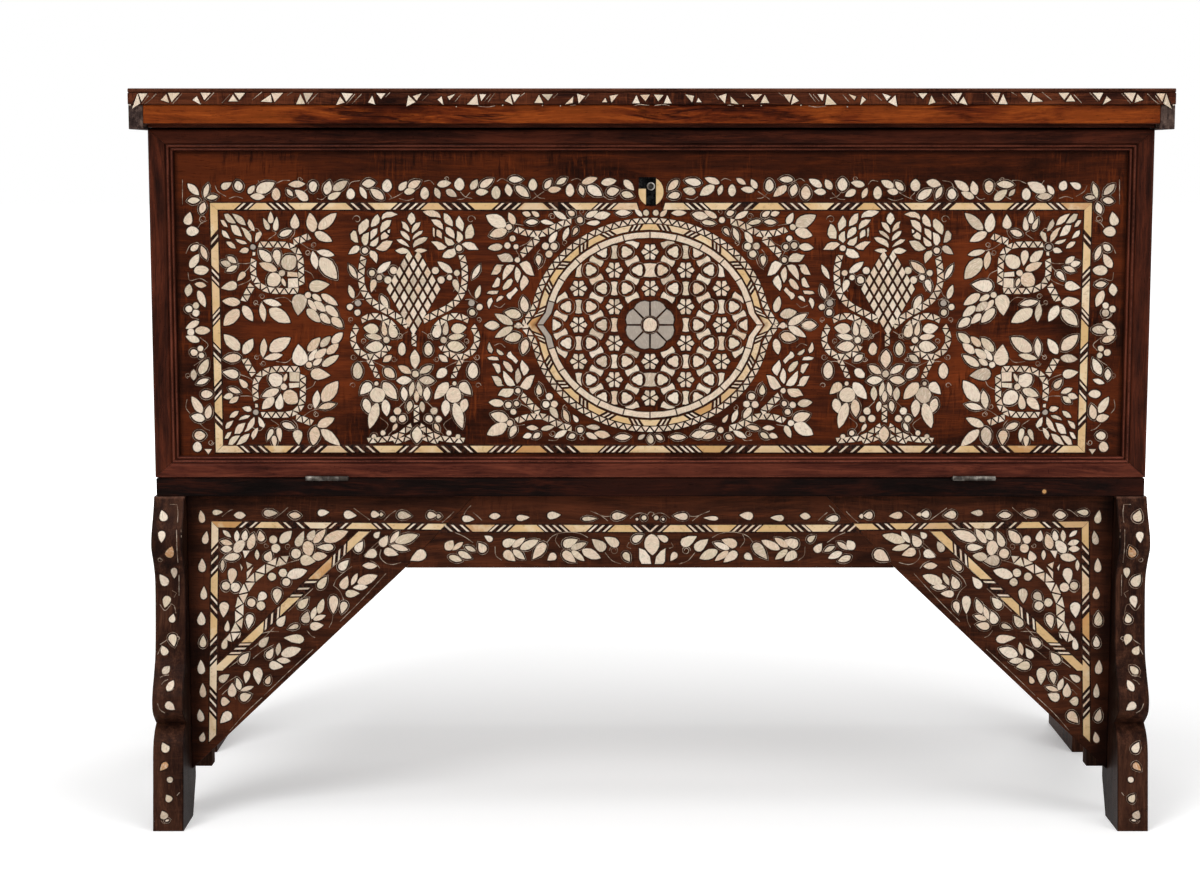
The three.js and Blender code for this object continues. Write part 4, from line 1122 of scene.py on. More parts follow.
spray = dict(  # one corner of the field around the medallion
    lens=[
        (567, 219.5, 553.5, 212, 6), (538, 222.5, 525.5, 223, 5.5), (563, 241.5, 568.5, 228, 5.5),
        (594, 217.5, 610, 214.5, 8), (615, 213, 631, 213.5, 6), (500, 327, 484, 326, 8.5),
    ],
    scale=[(549.5, 243.5, 557.5, 232, 6.5)],
    block=[
        ((497, 255.5), (500.5, 255.1), (505, 253.5), (509, 254.1), (511.8, 256.6), (513.2, 259.5),
         (513.1, 262.2), (509, 262.7), (502.2, 262.5), (499.7, 260.3)),
        ((519.3, 264.4), (523, 262.2), (526.5, 261.2), (529.8, 263.6), (531.8, 268), (533.3, 273),
         (534.3, 276.2), (530.5, 276), (526.2, 274.2), (522.7, 270)),
        ((504, 265.2), (501.4, 266.2), (501.6, 269), (500.1, 272.8), (497, 275.2), (491, 275.3),
         (492.7, 271.5), (494.7, 267.2), (497, 264.8)),
        ((514.8, 265.7), (512.8, 270.5), (509.8, 274.3), (505, 279.2), (502.7, 280.6), (502.6, 275),
         (504.2, 269.6), (506.7, 265.8), (510, 264.8)),
        ((516.5, 267.1), (519.3, 269.7), (521.2, 273.5), (520.2, 278), (517.7, 283.6), (515, 279.3),
         (514.5, 274), (515.2, 269.7)),
        ((523.5, 275.3), (526.8, 277.7), (529, 281.5), (527.8, 284.8), (523.8, 289.2), (521.6, 291.6),
         (519.8, 287), (520.3, 281.6)),
        ((497.7, 277.5), (500.2, 279.5), (500, 283.5), (499.2, 286.7), (495, 288.2), (491.8, 287.6),
         (493.8, 284), (495.8, 279.7)),
        ((511.3, 278.8), (513, 281.1), (511.2, 285.8), (507.8, 289.2), (503.2, 290.6), (502.5, 288),
         (504.8, 283.6), (507.7, 280.3)),
        ((498.8, 291.2), (497.3, 294.3), (492, 295.1), (486.8, 293.9), (488.6, 291.7), (493, 291)),
        ((515.8, 287.5), (518, 290.5), (515.3, 293.8), (511.8, 297.3), (510.3, 300.2), (508, 299.2),
         (506.3, 296), (507.8, 293.7), (511.7, 291.7)),
        ((503.8, 297.1), (501.8, 299.8), (496.5, 302.6), (496.3, 300), (498.6, 296.8), (501.5, 296)),
        ((491.5, 298), (493, 301.5), (491, 305.5), (489, 309.5), (487.5, 306), (487, 303), (488.5, 299.5)),
    ],
    leaf=[
        (506, 226.5, 486, 215.5, 12.5), (507, 231, 489.5, 236.5, 10.5), (515, 225, 509, 213, 7),
        (531, 216, 522, 213, 6), (539.5, 217, 531.5, 212, 5.5), (540.5, 221.5, 554, 224, 5),
        (575, 215, 568, 212, 6), (585.5, 217.5, 598, 211.5, 6.5), (600, 222.5, 586, 224, 5.5),
        (503, 247, 488, 248.5, 8), (526, 313, 522.5, 297, 8), (521, 316, 504.5, 312.5, 9.5),
        (513, 325, 494.5, 314, 8),
    ],
    drop=[(577.5, 228.5, 572.5, 236, 4.5), (538.5, 256, 538.5, 266.5, 6)],
    round=[
        (509, 227.5, 3.3), (580, 220.5, 3.3), (517.4, 260.4, 2.9), (512.5, 239, 3.2), (507.5, 246, 3.4),
        (516, 247.3, 2.8), (545.5, 246.5, 3.7), (554, 246.8, 3.7), (549, 254.5, 3.7),
    ],
    zigzag=[
        ([(514, 229), (524, 233), (535, 234.5), (545, 234), (553, 228.5), (562, 224.5),
          (573, 221.5)], 7.5, 9),
        ([(520, 257), (526, 251), (532, 244.5), (540, 237)], 7.5, 9),
    ],
    string=[
        [(540, 250), (537, 254), (538, 258)], [(546, 258), (543, 266), (538, 270)],
        [(520, 247), (528, 243), (532, 238)], [(516, 251), (519, 256), (518, 259)],
        [(558, 232), (563, 227), (566, 225)], [(524, 226), (518, 225), (513, 224)],
        [(560, 216), (556, 210), (548, 210)], [(505, 304), (500, 308), (494, 306)],
    ],
    curl=[(552, 217, 3.5, 180, 1.2), (565, 243, 3, 90, 1), (582, 212, 2.8, 90, 1)],
)
sprayTop = dict(leaf=[(642, 217, 634.5, 209.5, 5)], round=[(646, 213.3, 3.2)])
sprayBottom = dict(leaf=[(638, 440, 645, 435, 4.8), (650, 444.5, 650, 434.8, 5.8)])
sprayMiddle = dict(round=[(518.5, 326, 3.2)], zigzag=[([(513, 326), (522, 326), (530, 326)], 5, 7)])

medallion = dict(  # pixels, but gap, room, lean and slips in radians
    middle=(650, 325.4),
    field=(97.5, 85.8), edge=1.05,  # half width and height of the space within the pale ring
    cuspSine=0.14,  # how far round the oval a cusp begins
    rosette=dict(petals=8, inner=9.3, outer=25.2, eye=7.3, gaps=(0.85, 0.75), drop=(2.0, 0.4), clear=3),
    rosetteTones=dict(petals=0.97, eye=0.3),
    pale=dict(reach=(102, 90.1), width=5.9, segments=24, cusp=8.0, gap=0.0035),
    paleTones=dict(usual=(0.15, 0.5), cusp=[11, 12]),  # the two pieces at the left cusp are grey
    bone=dict(reach=(109.3, 98), width=5.7, segments=24, cusp=10.0, room=0.055, lean=0.02),
    amber=[11],  # the bone piece at the left cusp
    slips=dict(half=0.0105, off=0.021),
    teeth=dict(reach=(117, 104.4), width=6.4, pitch=9.0, cusp=10.0),
)
strap = dict(  # stars stand in columns, every second one half a row lower
    column=35.7, row=36.5, count=4,
    star=8.9, petal=[(0.13, 0), (0.5, -26), (0.84, -22), (1, 0), (0.84, 22), (0.5, 26)],  # shares and degrees
    bar=[(-6.6, -3.4), (-3, -2.6), (0, -2.3), (3, -2.6), (6.6, -3.4), (7.2, 0)], broadBar=1.9,
    knot=5.5, swell=1.1, knotCorners=12,
    ring=8.3, wire=(-0.25, 0.3),
)


def oval(turn, reach, cusp=0.0, off=0.0):
    # a point of the oval at each turn, off pixels outside it; a pointed cusp leads out at both sides
    nose = np.clip(1 - np.abs(np.sin(turn)) / medallion["cuspSine"], 0, 1) * cusp
    wide, high = reach
    spots = np.stack([np.cos(turn) * (wide + off + nose), np.sin(turn) * (high + off)], -1)
    return spots + medallion["middle"]


def ovalQuads(low, high, leanLow, leanHigh, form):
    # blocks of an oval band between two turns; a lean moves outer ends one way and inner ones the other
    half = form["width"] / 2
    middle, lean = (low + high) / 2, (leanLow + leanHigh) / 2
    rim = [
        (low - leanLow, half), (low, 0), (low + leanLow, -half), (middle + lean, -half),
        (high + leanHigh, -half), (high, 0), (high - leanHigh, half), (middle - lean, half),
    ]
    return np.stack([oval(turn, form["reach"], form["cusp"], off) for turn, off in rim], 1)


def strapwork():
    # stars at the lattice points, waisted bars on its edges, rounded triangles at the middles of its cells
    column, row, count, middle = strap["column"], strap["row"], strap["count"], medallion["middle"]
    k, j = (grid.ravel() for grid in np.mgrid[-count:count + 1, -count:count + 1])
    stars = np.stack([k * column, (j + (k % 2) / 2) * row], 1)

    kite = np.array(strap["petal"])
    angle = np.radians(np.arange(6) * 60)[:, None] + np.radians(kite[:, 1])
    petal = (kite[:, 0] * strap["star"])[:, None] * np.stack([np.cos(angle), np.sin(angle)], -1)
    petals = (stars[:, None, None] + petal).reshape(-1, 6, 2)

    half = np.array([(0, row / 2), (column / 2, row / 4), (column / 2, -row / 4)])
    spots = (stars[:, None] + half).reshape(-1, 2)
    heading = np.tile(half / np.linalg.norm(half, axis=1, keepdims=True), (len(stars), 1))
    upright = np.tile([True, False, False], len(stars)) & (np.abs(spots[:, 0]) < 1)
    broad = np.where(upright, strap["broadBar"], 1.0)[:, None, None]
    outline = np.concatenate([strap["bar"], -np.array(strap["bar"])])
    side = heading[:, ::-1] * (-1, 1)
    bars = spots[:, None] + outline[:, :1] * heading[:, None] + broad * outline[:, 1:] * side[:, None]

    knots = (stars[:, None] + [(column / 3, row / 2), (column * 2 / 3, 0)]).reshape(-1, 2)
    bulge = np.linspace(0, 2 * np.pi, strap["knotCorners"], endpoint=False)
    swell = (strap["knot"] + strap["swell"] * np.cos(3 * bulge))[:, None]
    point = np.stack([np.tile([1.0, -1.0], len(stars)), np.ones(len(knots))], 1)
    rounded = knots[:, None] + circle(len(bulge)) * swell * point[:, None]
    rings = knots[:, None] + circle(len(bulge)) * strap["ring"]
    return [cropped(shapes + middle) for shapes in (petals, bars, rounded)], cropped(rings + middle)


def cropped(shapes):
    # keeps what lies between the rosette and the pale ring, cut back to the ring's oval
    middle, field, rosette = np.array(medallion["middle"]), np.array(medallion["field"]), medallion["rosette"]
    centre = shapes.mean(1) - middle
    keep = np.linalg.norm(centre / field, axis=1) < medallion["edge"]
    keep &= np.linalg.norm(centre, axis=1) > rosette["outer"] + rosette["clear"]
    shapes = shapes[keep] - middle
    reach = np.linalg.norm(shapes / field, axis=2, keepdims=True)
    return shapes / np.maximum(reach, 1) + middle


def rosettePetals():
    # sectors between two radii, their outer corners rounded off
    form = medallion["rosette"]
    share = 2 * np.pi / form["petals"]
    low = np.arange(form["petals"])[:, None] * share
    inner, outer = form["gaps"][0] / form["inner"], form["gaps"][1] / form["outer"]
    steps = np.linspace(0, 1, 5)
    rim = low + outer + (share - 2 * outer) * steps
    heel = low + share - inner - (share - 2 * inner) * steps
    far, near = form["drop"]
    reach = np.concatenate([form["outer"] - np.array([far, near, 0, near, far]), np.full(5, form["inner"])])
    angle = np.concatenate([rim, heel], 1)
    return reach[:, None] * np.stack([np.cos(angle), np.sin(angle)], -1) + medallion["middle"]


def drawMedallion(inlay):
    rosette, pale, bone, teeth = (medallion[key] for key in ("rosette", "pale", "bone", "teeth"))
    groups, circles = strapwork()
    for shapes in groups:
        inlay.cut(inlay.place(shapes))
    band = inlay.place(circles)
    inlay.ribbons.append(ringStrip(*(grown(band, margin) for margin in strap["wire"])))
    inlay.cut(inlay.place(rosettePetals()), tone=medallion["rosetteTones"]["petals"])
    inlay.rounds([(*medallion["middle"], rosette["eye"])], [same], medallion["rosetteTones"]["eye"])

    cuts = np.linspace(0, 2 * np.pi, pale["segments"] + 1)
    none = np.zeros(pale["segments"])
    tones = inlay.chance.uniform(*medallion["paleTones"]["usual"], pale["segments"])
    tones[medallion["paleTones"]["cusp"]] = shades["grey"]
    blocks = ovalQuads(cuts[:-1] + pale["gap"], cuts[1:] - pale["gap"], none, none, pale)
    inlay.cut(inlay.place(blocks), tone=tones)

    share = 2 * np.pi / bone["segments"]
    cuts = (np.arange(bone["segments"]) + 0.5) * share
    lean = bone["lean"] * (-1.0) ** np.arange(bone["segments"])
    tones = inlay.chance.uniform(*inlay.tones, bone["segments"])
    tones[medallion["amber"]] = 1.0
    blocks = ovalQuads(cuts + bone["room"], cuts + share - bone["room"], lean, -lean, bone)
    inlay.cut(inlay.place(blocks), "bone", tone=tones)
    half = medallion["slips"]["half"]
    for off in (-medallion["slips"]["off"], medallion["slips"]["off"]):
        inlay.cut(inlay.place(ovalQuads(cuts + off - half, cuts + off + half, lean, lean, bone)))

    path = oval(np.linspace(0, 2 * np.pi, 73), teeth["reach"], teeth["cusp"])
    inlay.cut(inlay.place(triangles(path, teeth["width"], teeth["pitch"])))


border = dict(  # the band between the bone frame and the moulding: its top and its left upright
    lens=[
        (199, 195.5, 187.5, 184, 7), (204.5, 198.5, 208.5, 184, 5.5), (206.5, 198.5, 218, 197.5, 5),
        (200, 200.5, 187.5, 202, 6.5), (205, 203, 201, 214.5, 7), (250, 196, 265, 197.5, 7),
        (288, 185.5, 305.5, 184.5, 7.5), (293, 197, 287, 189.5, 4.5), (376, 182.5, 361.5, 185, 8),
        (366, 199.5, 360, 187, 6), (435, 188, 440, 199.5, 6), (507, 184, 510, 197, 7.5),
        (556, 185, 566.5, 178.5, 5.5), (580, 185, 583, 196, 5.5), (201, 246.5, 206.5, 260.5, 6),
        (189.5, 284, 187.5, 297.5, 8), (195, 284, 206.5, 286, 6), (196.5, 384, 208.5, 379.5, 5.5),
        (193.5, 381, 193.5, 369.5, 6.5),
    ],
    leaf=[
        (248, 194.5, 254.5, 185.5, 6.5), (256, 192, 275, 183, 11), (308, 201, 295, 190, 8.5),
        (326, 195.5, 329.5, 181, 8.5), (333, 191, 348, 181, 8.5), (328, 199, 341, 193, 7),
        (384, 199.5, 370, 189.5, 8.5), (399, 191, 407, 182, 7), (408, 188, 421, 181, 8),
        (404, 193, 415, 191, 7), (437, 185.5, 451, 183, 7.5), (446, 190.5, 457, 197, 7),
        (470.5, 190.5, 477, 180, 7.5), (480, 187.5, 493.5, 179.5, 7.5), (475.5, 193, 488, 192, 7),
        (509, 180, 523, 180, 6.5), (515.5, 186.5, 529, 197.5, 8), (545, 189, 551, 180, 6.5),
        (548, 191, 561, 189, 7), (582, 184, 597.5, 178.5, 7), (587.5, 186, 602, 196, 9.5),
        (601, 184, 617, 181, 8), (607, 193.5, 619, 190, 9), (624, 180.5, 634, 191, 7.5),
        (621.5, 194, 634, 197, 7), (191, 251, 199, 245.5, 6.5), (190, 268.5, 199, 254.5, 8.5),
        (198, 291, 205.5, 307.5, 8), (199, 322, 185.5, 329, 7), (199.5, 342, 186, 336.5, 7),
        (200, 375, 208.5, 359, 8.5), (202, 413.5, 192, 397, 9), (207, 419.5, 209.5, 405, 8),
        (205, 420, 191.5, 416.5, 8.5),
    ],
    drop=[(221, 188.5, 232, 183, 7), (187, 226, 190, 212, 9.5)],
    bud=[
        (240.5, 191, 237, 181.5, 8.5), (276, 201, 276, 188, 9), (313, 181.5, 313, 193, 8.5),
        (350.5, 200, 350.5, 189, 9), (387, 192.5, 387, 180, 10), (424.5, 200, 424.5, 187, 9),
        (459.5, 191.5, 459.5, 178.5, 10), (496, 200, 496, 186, 9.5), (533, 191.5, 533, 179.5, 9),
        (570, 197, 570, 184.5, 8.5), (186, 232, 199, 231.5, 10), (194, 271, 209, 270.5, 10),
        (195, 331, 210, 330.5, 8), (200.5, 394.5, 212.5, 394.5, 8.5), (194.5, 436.5, 205.5, 436, 9),
        (197, 453, 197, 442, 9),
    ],
    round=[
        (189, 309.5, 3.6), (196, 306, 3.4), (196, 313.5, 3.8), (191, 332.5, 3.8), (200.5, 349, 3.2),
        (194, 353, 3.6), (201.5, 356, 3),
    ],
    block=[((204.5, 449.5), (212, 449.5), (208.5, 455))],
    string=[
        [(258, 194), (262, 188), (258, 181)], [(276, 184), (283, 181), (290, 181)],
        [(308, 189), (300, 195), (291, 200)], [(360, 181), (350, 184), (347, 199)],
        [(387, 193), (391, 197), (391, 199)], [(403, 193), (396, 197), (389, 200)],
        [(424, 182), (430, 181), (434, 185)], [(460, 192), (465, 197), (472, 199)],
        [(470, 193), (464, 199), (457, 200)], [(497, 182), (502, 179), (508, 182)],
        [(534, 193), (539, 198), (545, 199)], [(544, 192), (538, 196), (532, 200)],
        [(571, 181), (577, 179), (581, 181)], [(317, 199), (322, 200), (326, 197)],
        [(215, 186), (218, 192), (226, 197)], [(229, 199), (236, 197), (243, 199)],
        [(414, 199), (407, 201), (399, 199)], [(604, 197), (609, 200), (616, 199)],
        [(198, 228), (201, 224), (207, 221)], [(186, 254), (190, 246), (197, 243), (200, 246)],
        [(188, 273), (190, 281), (200, 279), (208, 283)], [(200, 338), (208, 345), (204, 351)],
        [(189, 314), (192, 318), (199, 320)], [(205, 358), (200, 362), (194, 366)],
        [(187, 400), (186, 408), (190, 414)], [(200, 424), (205, 429), (210, 431)],
        [(182.5, 180), (182.5, 205)],
    ],
    curl=[
        (203, 219.5, 4, 90, 1.2), (211, 443, 3, 0, 1.2), (341, 187, 3, 90, 1.2), (300, 179.5, 2.6, 0, 1.1),
        (447, 179.5, 2.5, 180, 1.1), (523, 189, 2.8, 0, 1.2), (188, 376, 2.8, 90, 1.2),
    ],
)
panelStripes = dict(
    top=dict(start=(213.5, 206.8), end=(637.8, 206.8), width=6.7, ends=(-1, -0.3), gaps=[
        (24, 38.8, 2), (55.8, 78.2, 3), (101, 112, 1), (136, 158, 2), (180.5, 210.8, 4), (228.5, 257.8, 3),
        (281.7, 307, 3), (333, 358.8, 2), (381, 401.5, 3),
    ]),
    left=dict(start=(213.8, 206.8), end=(219.5, 449.5), width=7.3, lean=-1, ends=(1, -1), gaps=[
        (27.2, 39.5, 1), (63.2, 78.2, 2), (104.3, 116.7, 2), (139, 154.2, 2), (176.2, 192.1, 2),
        (209.4, 220.2, 1),
    ]),
    bottom=dict(start=(219.5, 449.6), end=(632.7, 449.6), width=6.7, lean=-1, ends=(1, 1.1), gaps=[
        (21.5, 48.2, 3), (70.5, 104.3, 3), (124.5, 157, 3), (180, 198, 2), (220.5, 254.2, 3), (271, 299.5, 4),
        (324, 357.5, 3), (381.5, 413.2, 5),
    ]),
)
keystone = ((636.8, 446.3), (663.2, 446.3), (671, 452.9), (629, 452.9))  # the bottom stripe's middle bone
folds = dict(squares=(650, 330.5), field=(650, 326))  # pixels on the lines where the drawing is turned over


def dressPanel():
    inlay = Inlay("front", "fall_front", Face(panelFace), "front_panel", seed=11)
    plumb = inlay.place([(vase["middle"], 330)])[0, 0]

    def acrossVase(places):
        return mirrored(places, plumb)

    both = [same, mirrored]
    inlay.draw(cornerSquare, fourWays(inlay.place([folds["squares"]])[0, 1]))
    inlay.draw(vase, [same, acrossVase, mirrored, lambda places: mirrored(acrossVase(places))])
    inlay.draw(vaseMiddle, both)
    for copy in both:
        inlay.cut(copy(inlay.place(netCells())))
    inlay.draw(spray, fourWays(inlay.place([folds["field"]])[0, 1]))
    for motif in (sprayMiddle, sprayTop, sprayBottom):
        inlay.draw(motif, both)
    drawMedallion(inlay)
    inlay.draw(border, both)
    for form in panelStripes.values():
        inlay.stripe(**form, copies=both)
    inlay.blocks([keystone], [same], "bone", tone=0.3)
    inlay.build(finishes)


stand = dict(  # left half of the apron and the left bracket
    drop=[
        (203, 524, 201, 510.5, 7), (204, 545, 206.5, 531.5, 7), (202.5, 572.5, 202, 558.5, 7.5),
        (203.5, 600, 204, 586.5, 7), (201.7, 626, 201, 612, 8.5), (203, 648, 203.5, 635.5, 7),
        (201.3, 674.5, 200.5, 660, 7.7), (203, 698, 202.5, 684, 6.7), (202, 722, 199.5, 709.5, 7.5),
        (201.5, 743, 204, 732, 6.5), (212, 513, 223, 512.5, 6), (263.5, 513.5, 278, 513.5, 7.5),
        (317.5, 513.5, 329.5, 513, 7), (343.5, 514.5, 357, 516, 8), (370.5, 514.5, 380, 515, 7.5),
        (379, 515, 384, 515, 4.5), (397.5, 515.5, 411.5, 516.5, 7.5), (427, 515.5, 437, 516, 7.7),
        (436.5, 516.5, 441.5, 517, 5), (462, 518.5, 474.5, 520, 7), (516, 518.5, 530, 518, 6.5),
        (547, 516.5, 561, 515.5, 8), (612, 517, 627, 516, 7.5), (582, 519.5, 597, 518.5, 4.5),
        (233, 568.5, 231, 584.5, 9.5), (225, 602.5, 223.5, 618, 10.5), (227, 632, 228, 621, 5.5),
        (223.5, 650, 226, 637.5, 6.2), (262, 542, 259.5, 530.5, 7.5), (296.5, 547, 303.5, 531.5, 8),
        (266.5, 561.5, 270.5, 551.5, 9), (333.5, 548, 316.5, 548, 7.2), (300.5, 560, 316, 562, 11),
        (277.5, 589, 276.5, 604, 9.5), (265.5, 593, 257.5, 601, 9), (251, 614.8, 248.5, 629, 8.5),
        (374, 538.5, 379.5, 532, 6), (380.5, 547, 388, 535.5, 9.5), (384, 551, 398.5, 555.5, 8.5),
        (356.5, 552, 363, 541.5, 8), (339, 570.5, 349, 560.5, 8), (318.5, 588.5, 327.5, 577, 8),
        (298.5, 608.5, 308.5, 598.5, 8.3), (277.5, 627, 286, 616, 8.3), (259.5, 647, 269, 637.5, 8.3),
        (240, 663.5, 249, 653, 8.3), (219.5, 681.5, 230, 675, 7.5), (231, 712.5, 220.8, 723.5, 9.8),
        (376.5, 552.5, 364.5, 557.5, 9), (342.5, 589.5, 348, 576.5, 9), (345.5, 594.5, 359.5, 594, 7.5),
        (333.5, 596, 333.5, 614.5, 9.5), (344.5, 602, 342, 614, 7.5), (304.5, 624, 308.5, 611.5, 9.3),
        (310, 627, 324, 625.5, 8.3), (298.5, 625.5, 288, 629, 5), (304, 640, 284, 638, 8.8),
        (267.5, 659, 273.5, 648.5, 7.2), (269, 665.5, 283.5, 667, 9), (257.5, 668, 258.5, 685, 9.8),
        (247.5, 671.5, 245.5, 684.5, 7), (266.5, 684, 270, 676, 6), (232.5, 697.5, 232.5, 683.5, 9.5),
        (239.5, 699.5, 252, 694.5, 9), (426, 552.5, 410.5, 561, 12), (492.5, 541.5, 484.5, 536, 6),
        (485, 552.5, 478, 543.5, 8.5), (502, 545.5, 516, 540.5, 9.3), (504, 552, 516, 561.8, 9.8),
        (546, 543.5, 532.5, 559.5, 10.5), (555.5, 554.5, 547, 561, 8), (563, 546, 578.5, 539.8, 9.3),
        (563, 552.5, 576, 563, 9.3), (605, 550.5, 592, 539.5, 10.5), (619, 545.5, 603.5, 537, 9.5),
        (624, 553, 629.5, 562, 6.8), (632, 541.5, 643.5, 535.5, 7.3), (220.5, 702, 230, 702, 9),
    ],
    lens=[
        (234, 515.5, 246, 515.5, 7.5), (289, 515, 301.5, 516, 6.3), (489, 517, 500.5, 516.5, 7),
        (232.5, 544.5, 220.5, 541.5, 6), (232, 549.5, 220.5, 549.5, 7), (236.5, 542.5, 237, 530.5, 5.5),
        (231, 537.5, 222.5, 531, 4.5), (257, 560.5, 257, 550, 4.5), (222.5, 571, 222.5, 560, 4.3),
        (390, 543.5, 399, 531.5, 6), (390, 545.5, 408, 550.5, 6), (362.5, 566, 377.5, 566.5, 7),
        (351, 586, 357.5, 573, 5.5), (352.5, 588, 368, 587.5, 6), (311.5, 620, 316, 607, 5.8),
        (277.5, 656, 279.5, 642.8, 5.5), (276.5, 660.5, 290.5, 661.5, 6.3), (240.5, 691, 254, 687, 4.8),
        (465, 547, 476, 551.8, 5), (452, 550.5, 463, 542, 5.2),
    ],
    leaf=[
        (240, 556.5, 224, 559, 8), (244, 541.5, 245.5, 531, 6.7), (249, 550, 253.5, 534, 9),
        (280, 543.5, 292, 531.5, 10), (308, 540.5, 314.5, 530.5, 8.3), (313.5, 544, 325, 529.5, 8),
        (324, 541, 348, 531.5, 11), (312, 558, 327.5, 556, 9), (287, 577, 307, 571, 10.5),
        (395, 542.5, 418, 535.5, 9.5), (357.5, 583.5, 377.5, 576, 10), (318.5, 614.5, 323.5, 599, 7.8),
        (313, 620, 326, 616, 5.5), (281.5, 655.5, 301, 649.5, 10.5), (240.5, 690.5, 237, 678.5, 6.3),
        (446, 550.5, 453, 541, 9.3), (458, 552.5, 472, 559, 7), (449, 557, 462, 561.5, 7),
        (512.5, 548, 525.5, 538, 7), (520, 549.8, 539, 540.5, 9), (512.5, 550.2, 525, 560, 6.8),
        (571, 549.5, 586.5, 543, 6.5), (582, 550.5, 601, 559, 10), (571.5, 551.5, 585, 561.5, 6.7),
    ],
    bud=[(234.5, 553, 244.5, 541, 10.5), (307, 541, 309.5, 556.5, 11.5), (261, 601.5, 261, 611, 9)],
    round=[
        (226, 586.3, 4.3), (235.5, 587.8, 4.9), (273.3, 540, 4.3), (275.8, 548.8, 4.7), (296, 554, 5),
        (283, 573.3, 4.3), (272, 577.3, 4.2), (286.3, 582.5, 4.2), (251.5, 603, 4.4), (637, 519.7, 1.6),
        (644, 518.3, 2.6),
    ],
    block=[
        ((242.5, 551), (250, 551), (247, 556), (244.8, 559)), ((246, 562), (252.5, 565), (247.5, 569.5)),
        ((246.5, 572.5), (253.5, 567), (247, 579.5)), ((240, 564), (243, 568), (241.5, 571.5)),
        ((240, 638), (237.5, 639.5), (241, 632)),
    ],
    zigzag=[
        ([(290, 560), (279, 561), (271, 565.5), (262, 572), (255, 577.5), (248.5, 584), (244, 593),
          (240, 602), (239, 611), (239.5, 619), (238.5, 628), (234, 635), (227, 643)], 9, 13.4),
    ],
    string=[
        [(222, 517), (229, 511.5), (233, 510)], [(273.5, 519.5), (281, 514), (288, 508)],
        [(353.5, 508.5), (361, 514), (370, 520.5)], [(384, 521), (390, 515), (396, 511)],
        [(442, 523), (448, 518), (454, 512)], [(464, 515), (467, 510), (471, 506)],
        [(473, 513), (478, 517), (482, 521)], [(590.5, 511.5), (600, 515.5), (608, 521.5)],
        [(600, 515.5), (605, 517), (611, 516.5)], [(630, 519), (636, 514.5), (642, 513.5), (648, 516)],
        [(279, 567), (289, 563), (299, 560.5)],
        [(381, 550), (380, 557), (385, 563), (392, 565), (401, 563)],
        [(352, 567), (345, 572), (337, 579), (333.5, 586)], [(333.5, 586), (340, 592), (344, 601)],
        [(333, 615), (332, 622), (329, 628)], [(307, 631), (311, 636), (315, 638)],
        [(370, 561), (376, 564), (380, 569)],
        [(547, 543), (552, 537), (560, 533.5), (570, 532.5), (580, 534), (588, 538)],
        [(605, 553), (612, 561), (621, 564.5)], [(629, 543), (627, 547), (631, 549)],
        [(455, 533), (464, 537), (473, 543)], [(495, 547), (496, 556), (502, 561)],
        [(558, 534), (555.5, 541), (560, 548)], [(261, 634), (270, 632), (279, 632)],
        [(253, 659), (263, 651), (274, 645)], [(219, 690), (227, 683), (236, 677)],
        [(222, 695), (229, 690), (236, 700)], [(222, 591), (226, 593), (230, 590.5)],
        [(386, 574), (362, 600), (340, 622)], [(313, 650), (290, 671), (264, 696)],
        [(262, 698), (245, 714), (230, 731)], [(346, 554), (332, 568), (322, 577)],
        [(313, 589), (300, 601), (288, 612)], [(274, 628), (258, 644), (250, 650)],
        [(371, 531), (356, 545), (348, 552)], [(229, 668), (238, 661), (240, 658)],
        [(386, 536), (374, 546), (364, 556)], [(388, 538), (376, 548), (366, 558)],
    ],
    curl=[(266, 546, 2.6, 0, 1.1), (288, 547, 3.2, 90, 1.1), (614, 551, 4.6, 180, 1.5)],
)
standMiddle = dict(
    leaf=[(651.3, 534, 652.3, 556, 16.5)],
    block=[
        ((639, 548.5), (645, 550.5), (650, 557), (651.3, 564.5), (641.5, 564.5), (639, 559)),
        ((665.5, 548.5), (665, 562), (663, 564.5), (654.7, 564.5), (656, 557), (660.5, 551.5)),
    ],
    string=[[(647, 516), (650, 512.5), (654, 514), (652, 517)]],
)
standStripes = dict(
    outer=dict(start=(214.5, 524.9), end=(443.6, 527.2), width=5.9, ends=(-1, 1), gaps=[
        (24.3, 43.5, 2), (66.7, 92.7, 2), (113.9, 134.5, 2), (159.7, 175.2, 2), (192.8, 210.1, 2),
    ]),
    inner=dict(start=(443.6, 528.6), end=(650, 529), width=6.9, lean=-1, ends=(1, 1), gaps=[
        (0, 25.2, 3), (47.7, 67.9, 3), (96.8, 123.6, 4), (145.8, 167.6, 3), (190.4, 206.4, 2),
    ]),
    upright=dict(start=(215, 525.5), end=(212.6, 739), width=6.8, lean=-1, ends=(1, -1), gaps=[
        (20.5, 49.3, 3), (70.3, 90.3, 2), (111.9, 138.3, 3), (164.3, 190.9, 3),
    ]),
    slope=dict(start=(364, 532), end=(217, 671), width=7.6, ends=(-1, -1), gaps=[
        (23, 44.6, 3), (69.2, 96.3, 3), (115, 138.3, 3), (161.3, 180.1, 3),
    ]),
)


def dressStand():
    inlay = Inlay("stand", "carcass", Face(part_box("centre_apron")[0].y), seed=5)
    both = [same, mirrored]
    inlay.draw(stand, both)
    inlay.draw(standMiddle, [same])
    for form in standStripes.values():
        inlay.stripe(**form, copies=both)
    inlay.build(finishes)


plug = dict(spot=(1044.3, 492), radius=2.2, tone=0.9)  # a small plug let into the rail


def plugRail():
    inlay = Inlay("plug", "carcass", Face(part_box("front_base_rail")[0].y), "front_base_rail", seed=2)
    inlay.cut(inlay.place([plug["spot"] + plug["radius"] * circle(corners)]), "bone", plug["tone"])
    inlay.build(finishes)


